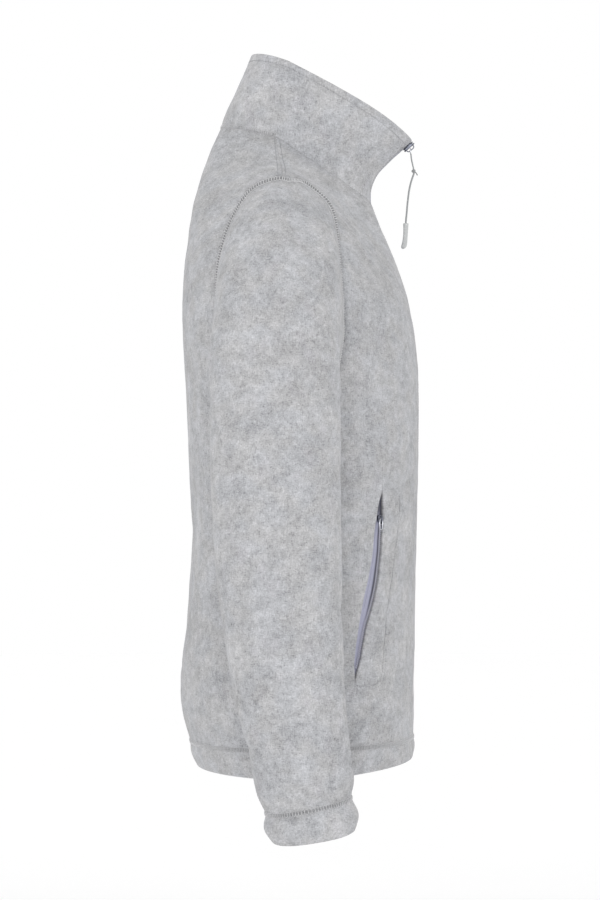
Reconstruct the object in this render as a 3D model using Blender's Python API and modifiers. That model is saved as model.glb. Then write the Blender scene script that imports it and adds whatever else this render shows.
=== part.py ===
"""A fleece zip jacket, filled out as it is worn, with nobody in it.

Metres, +Z up. The jacket faces -Y and its wearer's right side is -X. The origin lies between the two
shoulder points, where a wearer's shoulders carry it. Run with blender --background --python part.py.
"""

import math

import bpy
import numpy as np
from mathutils import Matrix, Vector

# Cloth and seams.
FLEECE = 0.0025  # one layer of the fleece
COLLAR_CLOTH = 0.0042  # two layers, turned over at the top
HEM_CLOTH = 0.0046  # turned up, with its cover stitch
CUFF_CLOTH = 0.0040
TAPE_CLOTH = 0.0008
SEAM_GAP = 0.0003
SEAM_DRAW = 0.0002  # each edge's share of the gap where two pieces meet at an angle
TAPE_GAP = 0.0005

# Front zip and pocket zip.
FRONT_EDGE = 0.0050  # half the space between the two front edges
TAPE_REACH = 0.0150  # half width of the zip, coil and tapes
COIL_WIDTH = 0.0050
COIL_DEPTH = 0.0017
COIL_SUNK = 0.0005  # below the cloth's face
FOOT_LENGTH, FOOT_WIDTH, FOOT_TOP = 0.0110, 0.0084, 0.0140  # the box that the zip starts from
THROAT = 0.0070  # how far the neck seam's bend reaches along the zip
POCKET_COIL_WIDTH = 0.0026
COIL_START = 0.0040  # above the foot of the slit
WELT_CLOTH = 0.0014

# The body of the jacket, a loop for each row, from the hem up to the neck seam. `up` runs up the side seam.
# Each loop goes through a centre front, a centre back and a side point; its powers say how square it is.
BODY_COLUMNS = "up front_y front_z back_y back_z side_x side_y side_z front_power back_power"
BODY_ROWS = {
    "hem edge": (0.000, -0.1368, -0.6425, 0.0905, -0.6500, 0.1955, -0.0210, -0.6555, 2.30, 2.40),
    "hem middle": (0.012, -0.1385, -0.6320, 0.0965, -0.6370, 0.2005, -0.0205, -0.6390, 2.30, 2.40),
    "hem seam": (0.028, -0.1375, -0.6195, 0.0985, -0.6235, 0.1998, -0.0200, -0.6235, 2.30, 2.40),
    "low seat": (0.060, -0.1384, -0.5900, 0.1064, -0.5910, 0.2060, -0.0200, -0.5910, 2.30, 2.40),
    "seat": (0.095, -0.1385, -0.5560, 0.1086, -0.5560, 0.2098, -0.0200, -0.5560, 2.30, 2.40),
    "hip": (0.151, -0.1392, -0.5010, 0.1018, -0.5010, 0.2110, -0.0200, -0.5000, 2.30, 2.40),
    "waist": (0.241, -0.1410, -0.4110, 0.0966, -0.4110, 0.2095, -0.0200, -0.4100, 2.30, 2.45),
    "ribs": (0.333, -0.1430, -0.3180, 0.0992, -0.3190, 0.2120, -0.0170, -0.3180, 2.30, 2.55),
    "underarm": (0.386, -0.1436, -0.2620, 0.1014, -0.2660, 0.2140, -0.0090, -0.2650, 2.30, 2.70),
    "chest": (0.440, -0.1420, -0.2230, 0.1042, -0.2200, 0.2146, -0.0040, -0.2120, 2.25, 2.85),
    "armhole middle": (0.491, -0.1378, -0.1880, 0.1056, -0.1740, 0.2143, 0.0000, -0.1610, 2.18, 2.90),
    "armhole top": (0.561, -0.1278, -0.1450, 0.1018, -0.1050, 0.2110, 0.0015, -0.0910, 2.08, 2.65),
    "shoulder point": (0.609, -0.1168, -0.1140, 0.0940, -0.0560, 0.2035, 0.0000, -0.0431, 2.00, 2.35),
    "shoulder": (0.673, -0.1030, -0.0810, 0.0810, -0.0130, 0.1430, 0.0030, -0.0180, 1.98, 2.12),
    "neck seam": (0.737, -0.0936, -0.0562, 0.0650, 0.0228, 0.0800, 0.0070, 0.0080, 2.00, 2.00),
}
COLLAR_ROWS = {
    "neck seam": (0.737, -0.0936, -0.0562, 0.0650, 0.0228, 0.0800, 0.0070, 0.0080, 2.00, 2.00),
    "stand": (0.750, -0.0938, -0.0440, 0.0618, 0.0335, 0.0795, 0.0058, 0.0200, 2.00, 2.05),
    "lower third": (0.768, -0.0992, -0.0290, 0.0562, 0.0480, 0.0785, 0.0044, 0.0370, 2.00, 2.15),
    "upper third": (0.792, -0.1134, -0.0130, 0.0465, 0.0700, 0.0760, -0.0020, 0.0615, 2.00, 2.30),
    "collar edge": (0.824, -0.1375, 0.0092, 0.0338, 0.1000, 0.0710, -0.0060, 0.0885, 1.95, 2.40),
}
HEM_SEAM, UNDERARM, SHOULDER_POINT, NECK_SEAM, COLLAR_EDGE = 0.028, 0.386, 0.609, 0.737, 0.824
COLLAR_BOW = 0.0115  # how steeply the collar's edge bows up from its side toward its front corner
COLLAR_BACK_BOW = 0.0030  # and toward its back
SHOULDER_SOFT = 0.085  # over this much each way the shoulder's corner fades out toward the chest
# Ahead of each shoulder point the cloth is full: its levels are drawn up by this much, between these degrees
# ahead of the side and these heights.
SHOULDER_LIFT = 0.026
LIFT_AHEAD = (0.0, 14.0, 34.0, 62.0)
LIFT_UP = (0.46, 0.57, 0.615, 0.715)

# The armhole, an oval round the side of the body, in degrees each way at its widest.
ARMHOLE_FRONT = 25.0
ARMHOLE_BACK = 31.0
ARMHOLE_LEAN = 0.16  # how much wider the front is at the shoulder point than half way down, as a share
ARMHOLE_TOP_SQUARE = 0.32  # under 1 is squarer than an oval
ARMHOLE_FRONT_SQUARE = 0.46
ARMHOLE_BACK_SQUARE = 0.74
ARMHOLE_SPREAD = 0.40  # sets the armhole's points closer together round its top and its foot

# A sleeve, a ring for each row. `inner` faces the body and `outer` faces away from it.
SLEEVE_COLUMNS = "along inner_x inner_z outer_x outer_z front_y back_y front_rise power"
SLEEVE_ROWS = {
    "armhole": (0.000, 0.2140, -0.2650, 0.2035, -0.0431, -0.0595, 0.0670, 0.000, 2.2),
    "cap": (0.030, 0.2185, -0.2668, 0.2320, -0.0570, -0.0603, 0.0675, 0.000, 2.2),
    "cap side": (0.070, 0.2225, -0.2705, 0.2660, -0.0860, -0.0600, 0.0682, 0.000, 2.2),
    "cap end": (0.110, 0.2252, -0.2780, 0.2965, -0.1250, -0.0592, 0.0697, 0.000, 2.2),
    "arm top": (0.160, 0.2272, -0.2920, 0.3205, -0.1770, -0.0587, 0.0716, 0.000, 2.2),
    "arm": (0.210, 0.2290, -0.3140, 0.3345, -0.2350, -0.0587, 0.0724, 0.000, 2.2),
    "upper arm": (0.270, 0.2315, -0.3530, 0.3420, -0.3000, -0.0587, 0.0712, 0.000, 2.2),
    "above elbow": (0.350, 0.2365, -0.4260, 0.3470, -0.3850, -0.0587, 0.0684, 0.000, 2.2),
    "elbow": (0.430, 0.2430, -0.5000, 0.3500, -0.4750, -0.0605, 0.0592, 0.000, 2.2),
    "forearm": (0.510, 0.2510, -0.5775, 0.3495, -0.5650, -0.0633, 0.0445, 0.004, 2.2),
    "lower arm": (0.570, 0.2570, -0.6245, 0.3465, -0.6240, -0.0685, 0.0315, 0.010, 2.2),
    "blouse": (0.600, 0.2588, -0.6505, 0.3450, -0.6540, -0.0712, 0.0245, 0.014, 2.2),
    "cuff seam": (0.620, 0.2640, -0.6660, 0.3390, -0.6725, -0.0688, 0.0165, 0.016, 2.2),
    "cuff": (0.640, 0.2615, -0.6830, 0.3415, -0.6900, -0.0758, 0.0172, 0.014, 2.3),
    "cuff end": (0.655, 0.2650, -0.6960, 0.3380, -0.7045, -0.0715, 0.0085, 0.012, 2.3),
}
CUFF_SEAM, CUFF_END = 0.620, 0.655
SET_IN = 0.16  # how far down the sleeve its rings still follow the armhole

# The pocket's slit in a front, in degrees round from the centre front, and its welt's stitched edge.
POCKET_COLUMNS = "up welt_edge slit_front slit_back"
POCKET_ROWS = {
    "hem seam": (0.028, 54.0, 63.5, 66.5),
    "slit foot": (0.100, 52.4, 65.5, 67.2),
    "low": (0.125, 48.6, 62.5, 66.1),
    "lower middle": (0.150, 45.0, 60.0, 64.3),
    "middle": (0.185, 40.9, 54.6, 61.2),
    "upper middle": (0.222, 38.3, 51.2, 57.1),
    "high": (0.250, 36.6, 50.1, 55.2),
    "slit head": (0.294, 35.6, 49.8, 51.4),
    "chest": (0.386, 35.0, 46.5, 49.0),
    "shoulder": (0.609, 33.0, 42.0, 46.0),
    "neck seam": (0.737, 38.0, 52.0, 58.0),
}
SLIT_FOOT, SLIT_HEAD = 0.100, 0.294
SLIT_FOOT_ROW = 3  # the front's rows of cells below the slit
POCKET_SLIDER_AT = 0.2635
WELT_FOOT, WELT_HEAD, WELT_HEAD_DROP = 0.0063, 0.0030, 0.0100  # below and above the slit, and toward the zip

# Folds in the cloth: where each starts and ends (degrees round, metres up or along), its width and its depth.
BODY_FOLDS = (
    ("behind the right arm", 128, 0.47, 118, 0.22, 0.022, -0.0035),
    ("behind the left arm", -127, 0.45, -120, 0.20, 0.024, -0.0030),
    ("small of the back", 172, 0.26, 205, 0.17, 0.030, -0.0030),
    ("over the right hip", 100, 0.20, 140, 0.13, 0.026, -0.0025),
    ("over the left hip", -98, 0.21, -138, 0.12, 0.026, -0.0025),
)
SLEEVE_FOLDS = (
    ("front of the elbow", 60, 0.40, 130, 0.45, 0.022, -0.0035),
    ("back of the arm", 285, 0.17, 262, 0.26, 0.024, -0.0035),
    ("above the cuff", 320, 0.545, 30, 0.585, 0.020, -0.0025),
)

# How finely the solids follow the cloth.
ARMHOLE_STEPS = 10
FRONT_STEPS = 5  # columns from the zip to the welt's stitched edge
WELT_STEPS = 2  # on to the slit's front edge
SIDE_STEPS = 3  # from the slit's back edge to the side seam
SLIT_STEPS = 8
BACK_STEPS = 16
RING_STEPS = 2 * ARMHOLE_STEPS
ARMHOLE_TURNS = np.linspace(math.pi, 0.0, ARMHOLE_STEPS + 1)

# The front zip's slider and its cord pull.
SLIDER_LENGTH, SLIDER_WIDTH, SLIDER_THICKNESS, SLIDER_BELOW_EDGE = 0.0138, 0.0094, 0.0034, 0.0068
BRIDGE_WIDTH, BRIDGE_THICKNESS, BRIDGE_RISE, BRIDGE_SHARE = 0.0022, 0.0011, 0.0033, 0.72
EYE_WIRE, EYE_WIDTH, EYE_LENGTH = 0.0011, 0.0052, 0.0060
CORD_THICKNESS = 0.0019
KNOT_SIZE = 0.0046
GRIP_WIDTH, GRIP_THICKNESS, GRIP_LENGTH, GRIP_BEND = 0.0058, 0.0046, 0.0272, 0.0022
# The cord's route below the eye, as distances forward of the hinge and below it.
CORD_ROUTE = ((0.0004, 0.0058), (0.0010, 0.0110), (0.0022, 0.0165), (0.0032, 0.0214))
CORD_ROUTE_BELOW = ((0.0035, 0.0261), (0.0021, 0.0305), (0.0003, 0.0363), (-0.0015, 0.0446),
                    (-0.0028, 0.0546), (-0.0040, 0.0676), (-0.0049, 0.0787))
POCKET_SLIDER_LENGTH, POCKET_SLIDER_WIDTH, POCKET_SLIDER_THICKNESS = 0.0080, 0.0042, 0.0030
POCKET_BRIDGE_RISE = 0.0030
POCKET_RING_WIRE, POCKET_RING_WIDTH, POCKET_RING_LENGTH = 0.0012, 0.0062, 0.0122


class Rows:
    """A table whose named columns are read anywhere between its rows, along a smooth curve."""

    def __init__(self, columns, rows):
        self.names = columns.split()
        table = np.array(list(rows.values()), float)
        self.at_row, self.value = table[:, 0], table[:, 1:]
        self.step = np.diff(self.at_row)
        rise = np.diff(self.value, axis=0) / self.step[:, None]
        before, after = self.step[:-1, None], self.step[1:, None]
        inside = (rise[:-1] * after + rise[1:] * before) / (before + after)
        self.slope = np.vstack([rise[:1], inside, rise[-1:]])

    def read(self, place):
        place = np.clip(np.asarray(place, float), self.at_row[0], self.at_row[-1])
        row = np.clip(np.searchsorted(self.at_row, place, side="right") - 1, 0, len(self.step) - 1)
        step = self.step[row]
        u = (place - self.at_row[row]) / step
        u, step = u[..., None], step[..., None]
        value = (
            (2 * u**3 - 3 * u**2 + 1) * self.value[row]
            + (u**3 - 2 * u**2 + u) * step * self.slope[row]
            + (3 * u**2 - 2 * u**3) * self.value[row + 1]
            + (u**3 - u**2) * step * self.slope[row + 1]
        )
        return {name: value[..., i] for i, name in enumerate(self.names[1:])}


def softened(rows, reach, count=49):
    """The side point's x and z averaged over this much of the rows each way, and unchanged at their ends."""
    levels = np.linspace(rows.at_row[0], rows.at_row[-1], count)
    reach = np.minimum(reach, np.minimum(levels - levels[0], levels[-1] - levels))
    sides = [rows.read(levels + share * reach) for share in np.linspace(-1, 1, 9)]
    x, z = (np.mean([side[name] for side in sides], axis=0) for name in ("side_x", "side_z"))
    return Rows("up side_x side_z", {level: (level, *values) for level, *values in zip(levels, x, z)})


BODY = Rows(BODY_COLUMNS, BODY_ROWS)
BODY_SOFT = softened(BODY, SHOULDER_SOFT)
COLLAR = Rows(BODY_COLUMNS, COLLAR_ROWS)
SLEEVE = Rows(SLEEVE_COLUMNS, SLEEVE_ROWS)
POCKET = Rows(POCKET_COLUMNS, POCKET_ROWS)


def unit(vectors):
    return vectors / np.maximum(np.linalg.norm(vectors, axis=-1, keepdims=True), 1e-12)


def fold_depth(folds, round_deg, place, radius):
    """How far the cloth stands out of its plain form at each point, from its folds."""
    out = np.zeros(np.broadcast(round_deg, place).shape)
    for _, start_deg, start, end_deg, end, width, depth in folds:
        run = np.array([math.radians(end_deg - start_deg) * radius, end - start])
        length = np.linalg.norm(run)
        run = run / length
        turn = (round_deg - start_deg + 180.0) % 360.0 - 180.0
        sideways = np.radians(turn) * radius
        lengthways = place - start
        along = (sideways * run[0] + lengthways * run[1]) / length
        across = sideways * run[1] - lengthways * run[0]
        beyond = np.maximum(np.abs(along - 0.5) - 0.5, 0.0) * length
        ends = np.clip(1.0 - np.abs(2 * along - 1), 0.0, 1.0) ** 0.5
        out = out + depth * ends * np.exp(-((across / (0.5 * width)) ** 2) - (beyond / width) ** 2)
    return out


def hump(value, rise, top, ease, end):
    """0 up to rise, 1 from top to ease, 0 again from end on, and smooth between them."""
    climb = np.clip((value - rise) / (top - rise), 0.0, 1.0)
    fall = np.clip((value - ease) / (end - ease), 0.0, 1.0)
    return climb**2 * (3 - 2 * climb) * (1 - fall**2 * (3 - 2 * fall))


def body_point(around, up, table=BODY):
    """A point on the body's or collar's outer face. `around` is in radians from the centre front, to the right.

    The shoulder's corner is as tight as its rows only at the side, and softer toward the centre.
    """
    if table is BODY:
        ahead = np.degrees(np.arcsin(np.clip(np.cos(around), -1.0, 1.0)))
        up = up + SHOULDER_LIFT * hump(ahead, *LIFT_AHEAD) * hump(up, *LIFT_UP)
    row = table.read(up)
    soft = BODY_SOFT.read(up) if table is BODY else row
    is_front = np.cos(around) >= 0
    power = np.where(is_front, row["front_power"], row["back_power"])
    toward = np.abs(np.cos(around)) ** (2 / power)
    aside = np.sign(np.sin(around)) * np.abs(np.sin(around)) ** (2 / power)
    end_y = np.where(is_front, row["front_y"], row["back_y"])
    end_z = np.where(is_front, row["front_z"], row["back_z"])
    corner = np.abs(aside) ** 3
    side_x = soft["side_x"] + (row["side_x"] - soft["side_x"]) * corner
    side_z = soft["side_z"] + (row["side_z"] - soft["side_z"]) * corner
    y = row["side_y"] + (end_y - row["side_y"]) * toward
    z = side_z + (end_z - side_z) * toward
    if table is COLLAR:
        rise = (up - NECK_SEAM) / (COLLAR_EDGE - NECK_SEAM)
        bow = np.where(is_front, COLLAR_BOW * (1 - toward**4), COLLAR_BACK_BOW * (1 - toward))
        z = z + rise * bow * toward
    return np.stack([-side_x * aside, y, z], axis=-1)


def body_frame(around, up, table=BODY):
    """The point there with its outward normal and the unit directions round and up the cloth."""
    around, up = np.broadcast_arrays(np.asarray(around, float), np.asarray(up, float))
    low, high = table.at_row[0], table.at_row[-1]
    below, above = np.maximum(up - 0.0005, low), np.minimum(up + 0.0005, high)
    rise = unit(body_point(around, above, table) - body_point(around, below, table))
    turn = unit(body_point(around + 0.002, up, table) - body_point(around - 0.002, up, table))
    normal = unit(np.cross(rise, turn))
    point = body_point(around, up, table)
    if table is BODY:
        depth = fold_depth(BODY_FOLDS, np.degrees(around), up, 0.18)
        point = point + normal * depth[..., None]
    return point, normal, turn, rise


def zip_edge(up, out=FRONT_EDGE, table=BODY):
    """The angle at which the cloth lies this far to the side of the centre front."""
    side_x = (BODY_SOFT if table is BODY else table).read(up)["side_x"]
    return np.arcsin((out / side_x) ** (table.read(up)["front_power"] / 2))


def armhole_angle(up):
    """How far the armhole opens each way from the side seam at this height, as (front, back) radians."""
    middle, half = (UNDERARM + SHOULDER_POINT) / 2, (SHOULDER_POINT - UNDERARM) / 2
    level = np.clip((up - middle) / half, -1.0, 1.0)
    above = (1 - level**4) ** (0.5 * ARMHOLE_TOP_SQUARE)
    below = (1 - level**2) ** (0.5 * ARMHOLE_FRONT_SQUARE)
    front = math.radians(ARMHOLE_FRONT) * (1 + ARMHOLE_LEAN * level) * np.where(level > 0, above, below)
    back = math.radians(ARMHOLE_BACK) * (1 - level**2) ** (0.5 * ARMHOLE_BACK_SQUARE)
    return front, back


def armhole_up(turn):
    level = np.cos(turn) * (1 + ARMHOLE_SPREAD * np.sin(turn) ** 2)
    return (UNDERARM + SHOULDER_POINT) / 2 + (SHOULDER_POINT - UNDERARM) / 2 * level


def armhole_place(turn):
    """Where the armhole lies on the right side of the body: 0 is the shoulder point, a quarter on is the front."""
    up = armhole_up(turn)
    front, back = armhole_angle(up)
    return np.where(np.sin(turn) >= 0, math.pi / 2 - front, math.pi / 2 + back), up


def plain_ring(turn, along):
    """A point of the right sleeve's plain tube, before it is set into the armhole."""
    row = SLEEVE.read(along)
    toward = np.sign(np.cos(turn)) * np.abs(np.cos(turn)) ** (2 / row["power"])
    aside = np.sign(np.sin(turn)) * np.abs(np.sin(turn)) ** (2 / row["power"])
    x = (row["inner_x"] + row["outer_x"]) / 2 + (row["outer_x"] - row["inner_x"]) / 2 * toward
    z = (row["inner_z"] + row["outer_z"]) / 2 + (row["outer_z"] - row["inner_z"]) / 2 * toward
    front, back = row["front_y"], row["back_y"]
    y = (front + back) / 2 + (front - back) / 2 * aside
    return np.stack([-x, y, z + row["front_rise"] / 2 * aside], axis=-1)


def sleeve_point(turn, along):
    """A point on the right sleeve's outer face, whose first ring is the armhole."""
    turn, along = np.broadcast_arrays(np.asarray(turn, float), np.asarray(along, float))
    around, up = armhole_place(turn)
    set_in = body_point(around, up) - plain_ring(turn, np.zeros_like(along))
    share = np.clip(1 - along / SET_IN, 0.0, 1.0) ** 2
    return plain_ring(turn, along) + set_in * share[..., None]


def sleeve_frame(turn, along):
    turn, along = np.broadcast_arrays(np.asarray(turn, float), np.asarray(along, float))
    back, ahead = np.maximum(along - 0.0008, 0.0), np.minimum(along + 0.0008, CUFF_END)
    down = unit(sleeve_point(turn, ahead) - sleeve_point(turn, back))
    spin = unit(sleeve_point(turn + 0.01, along) - sleeve_point(turn - 0.01, along))
    normal = unit(np.cross(down, spin))
    depth = fold_depth(SLEEVE_FOLDS, np.degrees(turn), along, 0.062)
    return sleeve_point(turn, along) + normal * depth[..., None], normal, spin, down


def armhole_mitre(turn):
    """The way through the cloth at the armhole seam, halfway between body and sleeve."""
    around, up = armhole_place(turn)
    on_body = body_frame(around, up)[1]
    on_sleeve = sleeve_frame(turn, np.full_like(turn, 0.004))[1]
    return unit(on_body + on_sleeve)


def neck_mitre(around):
    below = body_frame(around, np.full_like(around, NECK_SEAM))[1]
    above = body_frame(around, np.full_like(around, NECK_SEAM), COLLAR)[1]
    return unit(below + above)


# Making objects.


def clear_scene():
    for item in list(bpy.data.objects):
        bpy.data.objects.remove(item, do_unlink=True)


def collection(name):
    made = bpy.data.collections.new(name)
    bpy.context.scene.collection.children.link(made)
    return made


def material(name, colour, roughness, metallic=0.0):
    made = bpy.data.materials.new(name)
    made.use_nodes = True
    shader = made.node_tree.nodes["Principled BSDF"]
    shader.inputs["Base Color"].default_value = (*colour, 1.0)
    shader.inputs["Roughness"].default_value = roughness
    shader.inputs["Metallic"].default_value = metallic
    made.diffuse_color = (*colour, 1.0)
    return made


def add_mesh(name, points, faces, look):
    """An object from points and faces, turned so that its faces point out."""
    points = np.asarray(points, float).reshape(-1, 3)
    mesh = bpy.data.meshes.new(name)
    corners = [(f[0], f[k], f[k + 1]) for f in faces for k in range(1, len(f) - 1)]
    a, b, c = (points[[corner[i] for corner in corners]] for i in range(3))
    if (np.cross(a, b) * c).sum() < 0:
        faces = [tuple(reversed(face)) for face in faces]
    mesh.from_pydata([tuple(p) for p in points], [], [tuple(int(i) for i in f) for f in faces])
    mesh.materials.append(look)
    mesh.shade_smooth()
    mesh.set_sharp_from_angle(angle=math.radians(50))
    made = bpy.data.objects.new(name, mesh)
    JACKET.objects.link(made)
    return made


def split_cell(points, a, b, c, d):
    """The two triangles of a four-sided cell, along its shorter diagonal."""
    if np.linalg.norm(points[a] - points[c]) <= np.linalg.norm(points[b] - points[d]) + 1e-7:
        return (a, b, c), (a, c, d)
    return (a, b, d), (b, c, d)


def wall(name, outer, inner, look, closed=False, hole=None):
    """A cloth wall between two grids of points. `closed` joins the last column to the first; `hole` is cut out.

    hole is (first row, last row, column): the cells of that column between those rows. Each cell is two
    triangles along its shorter diagonal, so that a left piece mirrors its right one.
    """
    rows, columns = outer.shape[:2]
    count = rows * columns
    points = np.concatenate([outer.reshape(-1, 3), inner.reshape(-1, 3)])
    faces, edges = [], {}
    for i in range(rows - 1):
        for j in range(columns if closed else columns - 1):
            if hole and hole[0] <= i < hole[1] and j == hole[2]:
                continue
            k = (j + 1) % columns
            a, b, c, d = i * columns + j, i * columns + k, (i + 1) * columns + k, (i + 1) * columns + j
            for half in split_cell(points, a, b, c, d):
                faces.append(half)
                faces.append(tuple(count + corner for corner in reversed(half)))
            for edge in ((a, b), (b, c), (c, d), (d, a)):
                if edge[::-1] in edges:
                    del edges[edge[::-1]]
                else:
                    edges[edge] = True
    for start, end in edges:
        faces.extend(split_cell(points, end, start, count + start, count + end))
    return add_mesh(name, points, faces, look)


def side_name(name, side):
    return f"{name}_{'right' if side > 0 else 'left'}"


def to_side(points, side):
    """Points made for the right side, put on the side asked for."""
    return points if side > 0 else points * np.array([-1.0, 1.0, 1.0])


# The cloth pieces.


def panel_levels():
    return np.concatenate([
        np.linspace(HEM_SEAM, SLIT_FOOT, SLIT_FOOT_ROW + 1)[:-1],
        np.linspace(SLIT_FOOT, SLIT_HEAD, SLIT_STEPS + 1)[:-1],
        np.linspace(SLIT_HEAD, UNDERARM, 4)[:-1],
        armhole_up(ARMHOLE_TURNS)[:-1],
        np.linspace(SHOULDER_POINT, NECK_SEAM, 5),
    ])


def front_angles(up):
    """Angles across a front for each height: zip edge, welt's edge, slit's front and back edge, side seam."""
    place = POCKET.read(up)
    stops = [zip_edge(up), np.radians(place["welt_edge"]), np.radians(place["slit_front"]),
             np.radians(place["slit_back"]), math.pi / 2 - armhole_angle(up)[0]]
    angles = [stops[0][:, None]]
    for first, last, steps in zip(stops, stops[1:], (FRONT_STEPS, WELT_STEPS, 1, SIDE_STEPS)):
        share = np.linspace(0, 1, steps + 1)[1:]
        angles.append(first[:, None] + (last - first)[:, None] * share)
    return np.hstack(angles)


def back_angles(up):
    reach = armhole_angle(up)[1]
    return math.pi + (math.pi / 2 - reach)[:, None] * np.linspace(-1, 1, BACK_STEPS + 1)


def loop_angles(up):
    """The angles at which the fronts and the back meet a seam that runs round the body."""
    up = np.array([up])
    ahead, behind = front_angles(up)[0], back_angles(up)[0]
    return np.concatenate([ahead, behind[1:-1], 2 * math.pi - ahead[::-1]])


def away_from_armhole(turns):
    """The way along the body's cloth that leads straight away from the right armhole."""
    run = unit(body_point(*armhole_place(turns + 0.02)) - body_point(*armhole_place(turns - 0.02)))
    return unit(np.cross(body_frame(*armhole_place(turns))[1], run))


def set_seams(point, normal, turn, rise, angles, levels, columns):
    """Draws a panel's outer rows and columns in by half a seam gap and gives them their shared mitres."""
    point[0] = point[0] + rise[0] * SEAM_GAP / 2
    point[-1] = point[-1] - rise[-1] * SEAM_DRAW
    normal[-1] = neck_mitre(angles[-1])
    in_armhole = (levels > UNDERARM - 1e-6) & (levels < SHOULDER_POINT + 1e-6)
    on_seam = ~in_armhole | (levels < UNDERARM + 1e-6) | (levels > SHOULDER_POINT - 1e-6)
    for column, inward, turns, flip in columns:
        flip = np.array([flip, 1.0, 1.0])
        point[on_seam, column] += turn[on_seam, column] * inward * SEAM_GAP / 2
        point[in_armhole, column] += away_from_armhole(turns * ARMHOLE_TURNS) * flip * SEAM_DRAW
        normal[in_armhole, column] = armhole_mitre(turns * ARMHOLE_TURNS) * flip
    return point, normal


def front_grid():
    """The right front's outer points and the ways in through its cloth, a row for each height."""
    levels = panel_levels()
    angles = front_angles(levels)
    point, normal, turn, rise = body_frame(angles, levels[:, None])
    return set_seams(point, normal, turn, rise, angles, levels, [(-1, -1, 1, 1.0)])


def front(side, look):
    point, normal = front_grid()
    hole = (SLIT_FOOT_ROW, SLIT_FOOT_ROW + SLIT_STEPS, FRONT_STEPS + WELT_STEPS)
    return wall(side_name("front", side), to_side(point, side), to_side(point - normal * FLEECE, side), look,
                hole=hole)


def back(look):
    levels = panel_levels()
    angles = back_angles(levels)
    point, normal, turn, rise = body_frame(angles, levels[:, None])
    point, normal = set_seams(point, normal, turn, rise, angles, levels, [(0, 1, -1, 1.0), (-1, -1, -1, -1.0)])
    return wall("back", point, point - normal * FLEECE, look)


def hem(look):
    levels = np.array([0.0, 0.006, 0.014, HEM_SEAM])
    angles = np.broadcast_to(loop_angles(HEM_SEAM), (len(levels), len(loop_angles(HEM_SEAM))))
    point, normal, _, rise = body_frame(angles, levels[:, None])
    point[-1] = point[-1] - rise[-1] * SEAM_GAP / 2
    return wall("hem", point, point - normal * HEM_CLOTH, look)


def collar(look):
    levels = np.array([NECK_SEAM, 0.748, 0.765, 0.790, COLLAR_EDGE])
    angles = np.broadcast_to(loop_angles(NECK_SEAM), (len(levels), len(loop_angles(NECK_SEAM)))).copy()
    starts = zip_edge(levels, table=COLLAR)
    angles[:, 0], angles[:, -1] = starts, 2 * math.pi - starts
    point, normal, _, rise = body_frame(angles, levels[:, None], COLLAR)
    point[0] = point[0] + rise[0] * SEAM_DRAW
    normal[0] = neck_mitre(angles[0])
    return wall("collar", point, point - normal * COLLAR_CLOTH, look)


def sleeve(side, look):
    turns = np.linspace(0, 2 * math.pi, RING_STEPS, endpoint=False)
    places = np.array([0.0, 0.014, 0.034, 0.060, 0.090, 0.125, 0.165, 0.210, 0.260, 0.315, 0.370, 0.425,
                       0.475, 0.525, 0.570, 0.600, CUFF_SEAM])
    point, normal, _, down = sleeve_frame(turns, places[:, None])
    point[0] = point[0] + down[0] * SEAM_DRAW
    normal[0] = armhole_mitre(turns)
    point[-1] = point[-1] - down[-1] * SEAM_GAP / 2
    outer, inner = to_side(point, side), to_side(point - normal * FLEECE, side)
    return wall(side_name("sleeve", side), outer, inner, look, closed=True)


def cuff(side, look):
    turns = np.linspace(0, 2 * math.pi, RING_STEPS, endpoint=False)
    places = np.array([CUFF_SEAM, 0.630, 0.642, 0.651, CUFF_END])
    point, normal, _, down = sleeve_frame(turns, places[:, None])
    point[0] = point[0] + down[0] * SEAM_GAP / 2
    outer, inner = to_side(point, side), to_side(point - normal * CUFF_CLOTH, side)
    return wall(side_name("cuff", side), outer, inner, look, closed=True)


# The zips.


def on_front(rows, columns):
    """Points and normals of the right front between its own grid lines, at fractions of its rows and columns."""
    point, normal = front_grid()
    rows, columns = np.broadcast_arrays(np.asarray(rows, float), np.asarray(columns, float))
    row = np.clip(np.floor(rows).astype(int), 0, point.shape[0] - 2)
    column = np.clip(np.floor(columns).astype(int), 0, point.shape[1] - 2)
    u, v = (rows - row)[..., None], (columns - column)[..., None]

    def between(grid):
        below = grid[row, column] * (1 - v) + grid[row, column + 1] * v
        above = grid[row + 1, column] * (1 - v) + grid[row + 1, column + 1] * v
        return below * (1 - u) + above * u

    return between(point), unit(between(normal))


def layer(name, side, point, normal, top, bottom, look):
    """A strip that lies along points of the cloth, between two depths below its face."""
    return wall(name, to_side(point - normal * top, side), to_side(point - normal * bottom, side), look)


def centre_strip(stations, outs):
    """Points and normals at distances out from the centre front, a row for each (table, height)."""
    outs = np.asarray(outs, float)
    points, normals = [], []
    for table, level in stations:
        angle = np.sign(outs) * zip_edge(level, np.abs(outs), table)
        point, normal, _, _ = body_frame(angle, np.full(len(outs), level), table)
        points.append(point)
        normals.append(neck_mitre(angle) if abs(level - NECK_SEAM) < THROAT else normal)
    return np.array(points), np.array(normals)


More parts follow.
